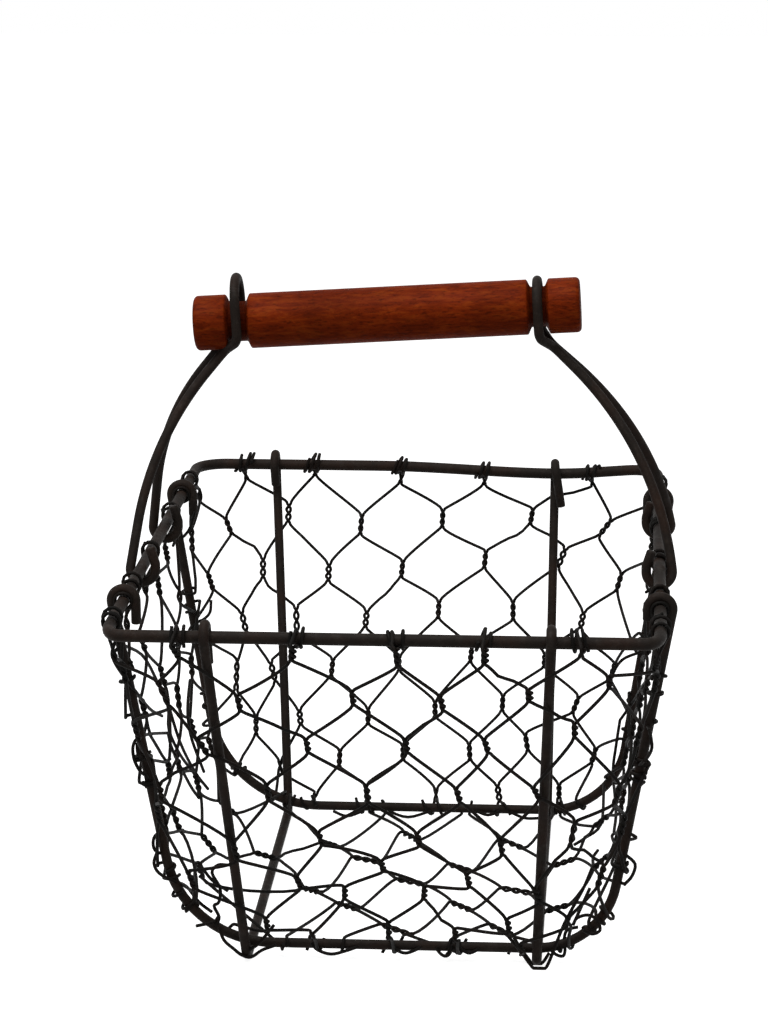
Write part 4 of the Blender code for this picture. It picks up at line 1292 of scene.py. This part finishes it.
class BasketFinishes(bpy.types.PropertyGroup):
    """Colours of the wire and the wood."""

    oxide: bpy.props.FloatVectorProperty(
        name="Oxide", description="Dark film on the frame wires",
        default=(0.0068, 0.0048, 0.0036), min=0.0, max=1.0, subtype="COLOR",
    )
    net_oxide: bpy.props.FloatVectorProperty(
        name="Netting oxide", description="Dark film on the netting",
        default=(0.0022, 0.0018, 0.0014), min=0.0, max=1.0, subtype="COLOR",
    )
    rust: bpy.props.FloatVectorProperty(
        name="Rust", description="Brown patches on the wires",
        default=(0.016, 0.0075, 0.0045), min=0.0, max=1.0, subtype="COLOR",
    )
    worn: bpy.props.FloatVectorProperty(
        name="Worn", description="Lighter film where the wires are handled",
        default=(0.019, 0.014, 0.011), min=0.0, max=1.0, subtype="COLOR",
    )
    wood_dark: bpy.props.FloatVectorProperty(
        name="Wood dark", description="Dark grain of the grip",
        default=(0.043, 0.0040, 0.0005), min=0.0, max=1.0, subtype="COLOR",
    )
    wood_stain: bpy.props.FloatVectorProperty(
        name="Wood stain", description="Middle tone of the grip",
        default=(0.091, 0.0096, 0.0009), min=0.0, max=1.0, subtype="COLOR",
    )
    wood_light: bpy.props.FloatVectorProperty(
        name="Wood light", description="Light grain of the grip",
        default=(0.15, 0.025, 0.0024), min=0.0, max=1.0, subtype="COLOR",
    )


class BasketStage(bpy.types.PropertyGroup):
    """The floor and the lights."""

    floor_size: bpy.props.FloatProperty(
        name="Floor", description="Side of the square floor",
        default=6.0, min=1.0, unit="LENGTH",
    )
    top_power: bpy.props.FloatProperty(
        name="Top light", description="Power of the soft light overhead, in watts",
        default=27.0, min=0.0, unit="POWER",
    )
    front_power: bpy.props.FloatProperty(
        name="Front light", description="Power of the soft light in front, in watts",
        default=5.0, min=0.0, unit="POWER",
    )
    room: bpy.props.FloatProperty(
        name="Room light", description="Strength of the light from all round", default=0.18, min=0.0,
    )


class BASKET_OT_frame_wires(bpy.types.Operator):
    """Make the rim ring, the two hoops and the two ribs"""

    bl_idname = "basket.frame_wires"
    bl_label = "Frame wires"

    def execute(self, context):
        sizes = context.scene.basket_sizes
        finish = frame_finish(context.scene.basket_finishes)
        edge = sizes.wire_edge
        rim = tube(rim_line(), sizes.rim_wire / 2, FRAME_TUBE_SIDES, closed=True)
        finished_object("rim", rim, finish, "basket", ["rim_ring"])
        wires = {
            "front_hoop": Hoop(FRONT_HOOP).line(), "rear_hoop": Hoop(REAR_HOOP).line(),
            "left_rib": rib_line(LEFT_RIB), "right_rib": rib_line(RIGHT_RIB),
        }
        for name, line in wires.items():
            wire = tube(line, sizes.frame_wire / 2, FRAME_TUBE_SIDES, end_edge=edge)
            finished_object(name + "_wire", wire, finish, "basket", [name])
        return {"FINISHED"}


class BASKET_OT_bails(bpy.types.Operator):
    """Make the two bails that carry the grip"""

    bl_idname = "basket.bails"
    bl_label = "Bails"

    def execute(self, context):
        sizes = context.scene.basket_sizes
        finish = frame_finish(context.scene.basket_finishes)
        bails = {"left_bail": (LEFT_BAIL, LEFT_GROOVE), "right_bail": (RIGHT_BAIL, RIGHT_GROOVE)}
        for name, (bail, groove) in bails.items():
            line = bail_line(bail, groove_place(groove, bail["side"]))
            wire = tube(line, sizes.frame_wire / 2, FRAME_TUBE_SIDES, end_edge=sizes.wire_edge)
            finished_object(name + "_wire", wire, finish, name, [name])
        return {"FINISHED"}


class BASKET_OT_grip(bpy.types.Operator):
    """Make the turned wooden grip"""

    bl_idname = "basket.grip"
    bl_label = "Grip"

    def execute(self, context):
        bm = grip_body(context.scene.basket_sizes)
        finish = wood_material(context.scene.basket_finishes)
        finished_object("turned_grip", bm, finish, "grip", ["grip"])
        return {"FINISHED"}


class BASKET_OT_netting(bpy.types.Operator):
    """Make the three sheets of twisted netting"""

    bl_idname = "basket.netting"
    bl_label = "Netting"

    def execute(self, context):
        radius = context.scene.basket_sizes.net_wire / 2
        finish = net_finish(context.scene.basket_finishes)
        front, rear = Hoop(FRONT_HOOP), Hoop(REAR_HOOP)
        trough = TroughSheet(front, rear)
        ends = (END_CELL_WIDTH, END_ROWS)
        middle = (TROUGH_CELL_WIDTH, TROUGH_ROWS, TROUGH_SEED)
        sheets = {
            "front_net": Netting(EndSheet(-1, front), *ends, FRONT_SEED, FRONT_TWISTS, FRONT_LOOSE),
            "rear_net": Netting(EndSheet(1, rear), *ends, REAR_SEED, REAR_TWISTS, REAR_LOOSE),
            "trough_net": Netting(trough, *middle, TROUGH_TWISTS, TROUGH_LOOSE, TROUGH_OFFSET, RIM_WIRE),
        }
        for name, netting in sheets.items():
            lines = netting.strands()
            if name == "trough_net":
                lines += [smooth_line(trough.stray(pixels)) for pixels in SIDE_STRAYS]
                lines += [smooth_line(strand_depths(*stray)) for stray in FOOT_STRAYS]
            strands = [tube(line, radius, NET_TUBE_SIDES) for line in lines]
            finished_object(name + "_strands", joined(strands), finish, "basket", [name])
        return {"FINISHED"}


class BASKET_OT_stage(bpy.types.Operator):
    """Set the floor, the soft lights and the photograph's camera"""

    bl_idname = "basket.stage"
    bl_label = "Stage"

    def execute(self, context):
        scene = context.scene
        stage = scene.basket_stage
        scene.view_settings.view_transform = "Standard"
        self.floor(scene, stage)
        self.lights(scene, stage)
        self.room(scene, stage)
        self.camera(scene)
        return {"FINISHED"}

    def floor(self, scene, stage):
        """A pale floor that keeps the part's shadow and is white to the camera."""
        bm = bmesh.new()
        bmesh.ops.create_grid(bm, x_segments=1, y_segments=1, size=stage.floor_size / 2)
        bmesh.ops.translate(bm, vec=(0, 0, CAD_LOW.z), verts=bm.verts)
        mesh = bpy.data.meshes.new("floor")
        bm.to_mesh(mesh)
        bm.free()
        finish, tree, shader = new_material("pale_floor")
        shader.inputs["Base Color"].default_value = FLOOR_GREY
        shader.inputs["Roughness"].default_value = FLOOR_ROUGHNESS
        shader.inputs["Emission Color"].default_value = WHITE
        path = add_node(tree, "ShaderNodeLightPath", (-4, -1)).outputs
        seen = worked_out(tree, (-3, -1), "MAXIMUM", path["Is Camera Ray"], path["Is Glossy Ray"])
        glow = worked_out(tree, (-2, -1), "MULTIPLY", seen, FLOOR_GLOW)
        tree.links.new(glow, shader.inputs["Emission Strength"])
        mesh.materials.append(finish)
        made = bpy.data.objects.new("floor", mesh)
        scene.collection.objects.link(made)

    def lights(self, scene, stage):
        """Two soft lights, turned to the part's middle."""
        centre = (CAD_LOW + CAD_HIGH) / 2
        lamps = (("top_light", TOP_LIGHT, stage.top_power), ("front_light", FRONT_LIGHT, stage.front_power))
        for name, measures, power in lamps:
            light = bpy.data.lights.new(name, "AREA")
            light.shape = "SQUARE"
            light.size = measures["size"]
            light.energy = power
            lamp = bpy.data.objects.new(name, light)
            lamp.location = measures["place"]
            lamp.rotation_mode = "QUATERNION"
            lamp.rotation_quaternion = (centre - lamp.location).to_track_quat("-Z", "Y")
            scene.collection.objects.link(lamp)

    def room(self, scene, stage):
        """Soft light from all round, and plain white where the camera or a reflection sees past the floor."""
        world = bpy.data.worlds.new("room")
        world.use_nodes = True
        scene.world = world
        tree = world.node_tree
        soft = tree.nodes["Background"]
        soft.inputs["Color"].default_value = WHITE
        soft.inputs["Strength"].default_value = stage.room
        white = add_node(tree, "ShaderNodeBackground", (-1, -1), {"Color": WHITE, "Strength": 1.0})
        path = add_node(tree, "ShaderNodeLightPath", (-3, 1)).outputs
        seen = worked_out(tree, (-2, 1), "MAXIMUM", path["Is Camera Ray"], path["Is Glossy Ray"])
        any_seen = worked_out(tree, (-1, 1), "MAXIMUM", seen, path["Is Transmission Ray"])
        shaders = {"Fac": any_seen, 1: soft.outputs["Background"], 2: white.outputs["Background"]}
        choice = add_node(tree, "ShaderNodeMixShader", (0, 0), shaders)
        tree.links.new(choice.outputs["Shader"], tree.nodes["World Output"].inputs["Surface"])

    def camera(self, scene):
        """The photograph's camera."""
        data = bpy.data.cameras.new("camera")
        data.sensor_width = SENSOR
        data.lens = FOCAL_PIXELS / PHOTO_HEIGHT * SENSOR
        camera = bpy.data.objects.new("camera", data)
        right, down, forward = camera_turn()
        turn = Matrix((right, -down, -forward)).transposed()
        camera.matrix_world = Matrix.Translation(CAMERA_PLACE) @ turn.to_4x4()
        scene.collection.objects.link(camera)
        scene.camera = camera


class BASKET_PT_sidebar(bpy.types.Panel):
    """The basket's sizes, finishes and build steps"""

    bl_idname = "BASKET_PT_sidebar"
    bl_label = "Wire onion basket"
    bl_space_type = "VIEW_3D"
    bl_region_type = "UI"
    bl_category = "Basket"

    def draw(self, context):
        scene = context.scene
        for group in (scene.basket_sizes, scene.basket_finishes, scene.basket_stage):
            box = self.layout.box()
            for name in group.__annotations__:
                box.prop(group, name)
        for operator in OPERATORS:
            self.layout.operator(operator.bl_idname)


PROPERTY_GROUPS = (BasketSizes, BasketFinishes, BasketStage)
OPERATORS = (BASKET_OT_frame_wires, BASKET_OT_bails, BASKET_OT_grip, BASKET_OT_netting, BASKET_OT_stage)
CLASSES = (*PROPERTY_GROUPS, *OPERATORS, BASKET_PT_sidebar)


def register():
    for made in CLASSES:
        bpy.utils.register_class(made)
    bpy.types.Scene.basket_sizes = bpy.props.PointerProperty(type=BasketSizes)
    bpy.types.Scene.basket_finishes = bpy.props.PointerProperty(type=BasketFinishes)
    bpy.types.Scene.basket_stage = bpy.props.PointerProperty(type=BasketStage)


def unregister():
    del bpy.types.Scene.basket_stage
    del bpy.types.Scene.basket_finishes
    del bpy.types.Scene.basket_sizes
    for made in reversed(CLASSES):
        bpy.utils.unregister_class(made)


def main():
    register()
    bpy.ops.basket.frame_wires()
    bpy.ops.basket.bails()
    bpy.ops.basket.grip()
    bpy.ops.basket.netting()
    bpy.ops.basket.stage()


if __name__ == "__main__":
    main()
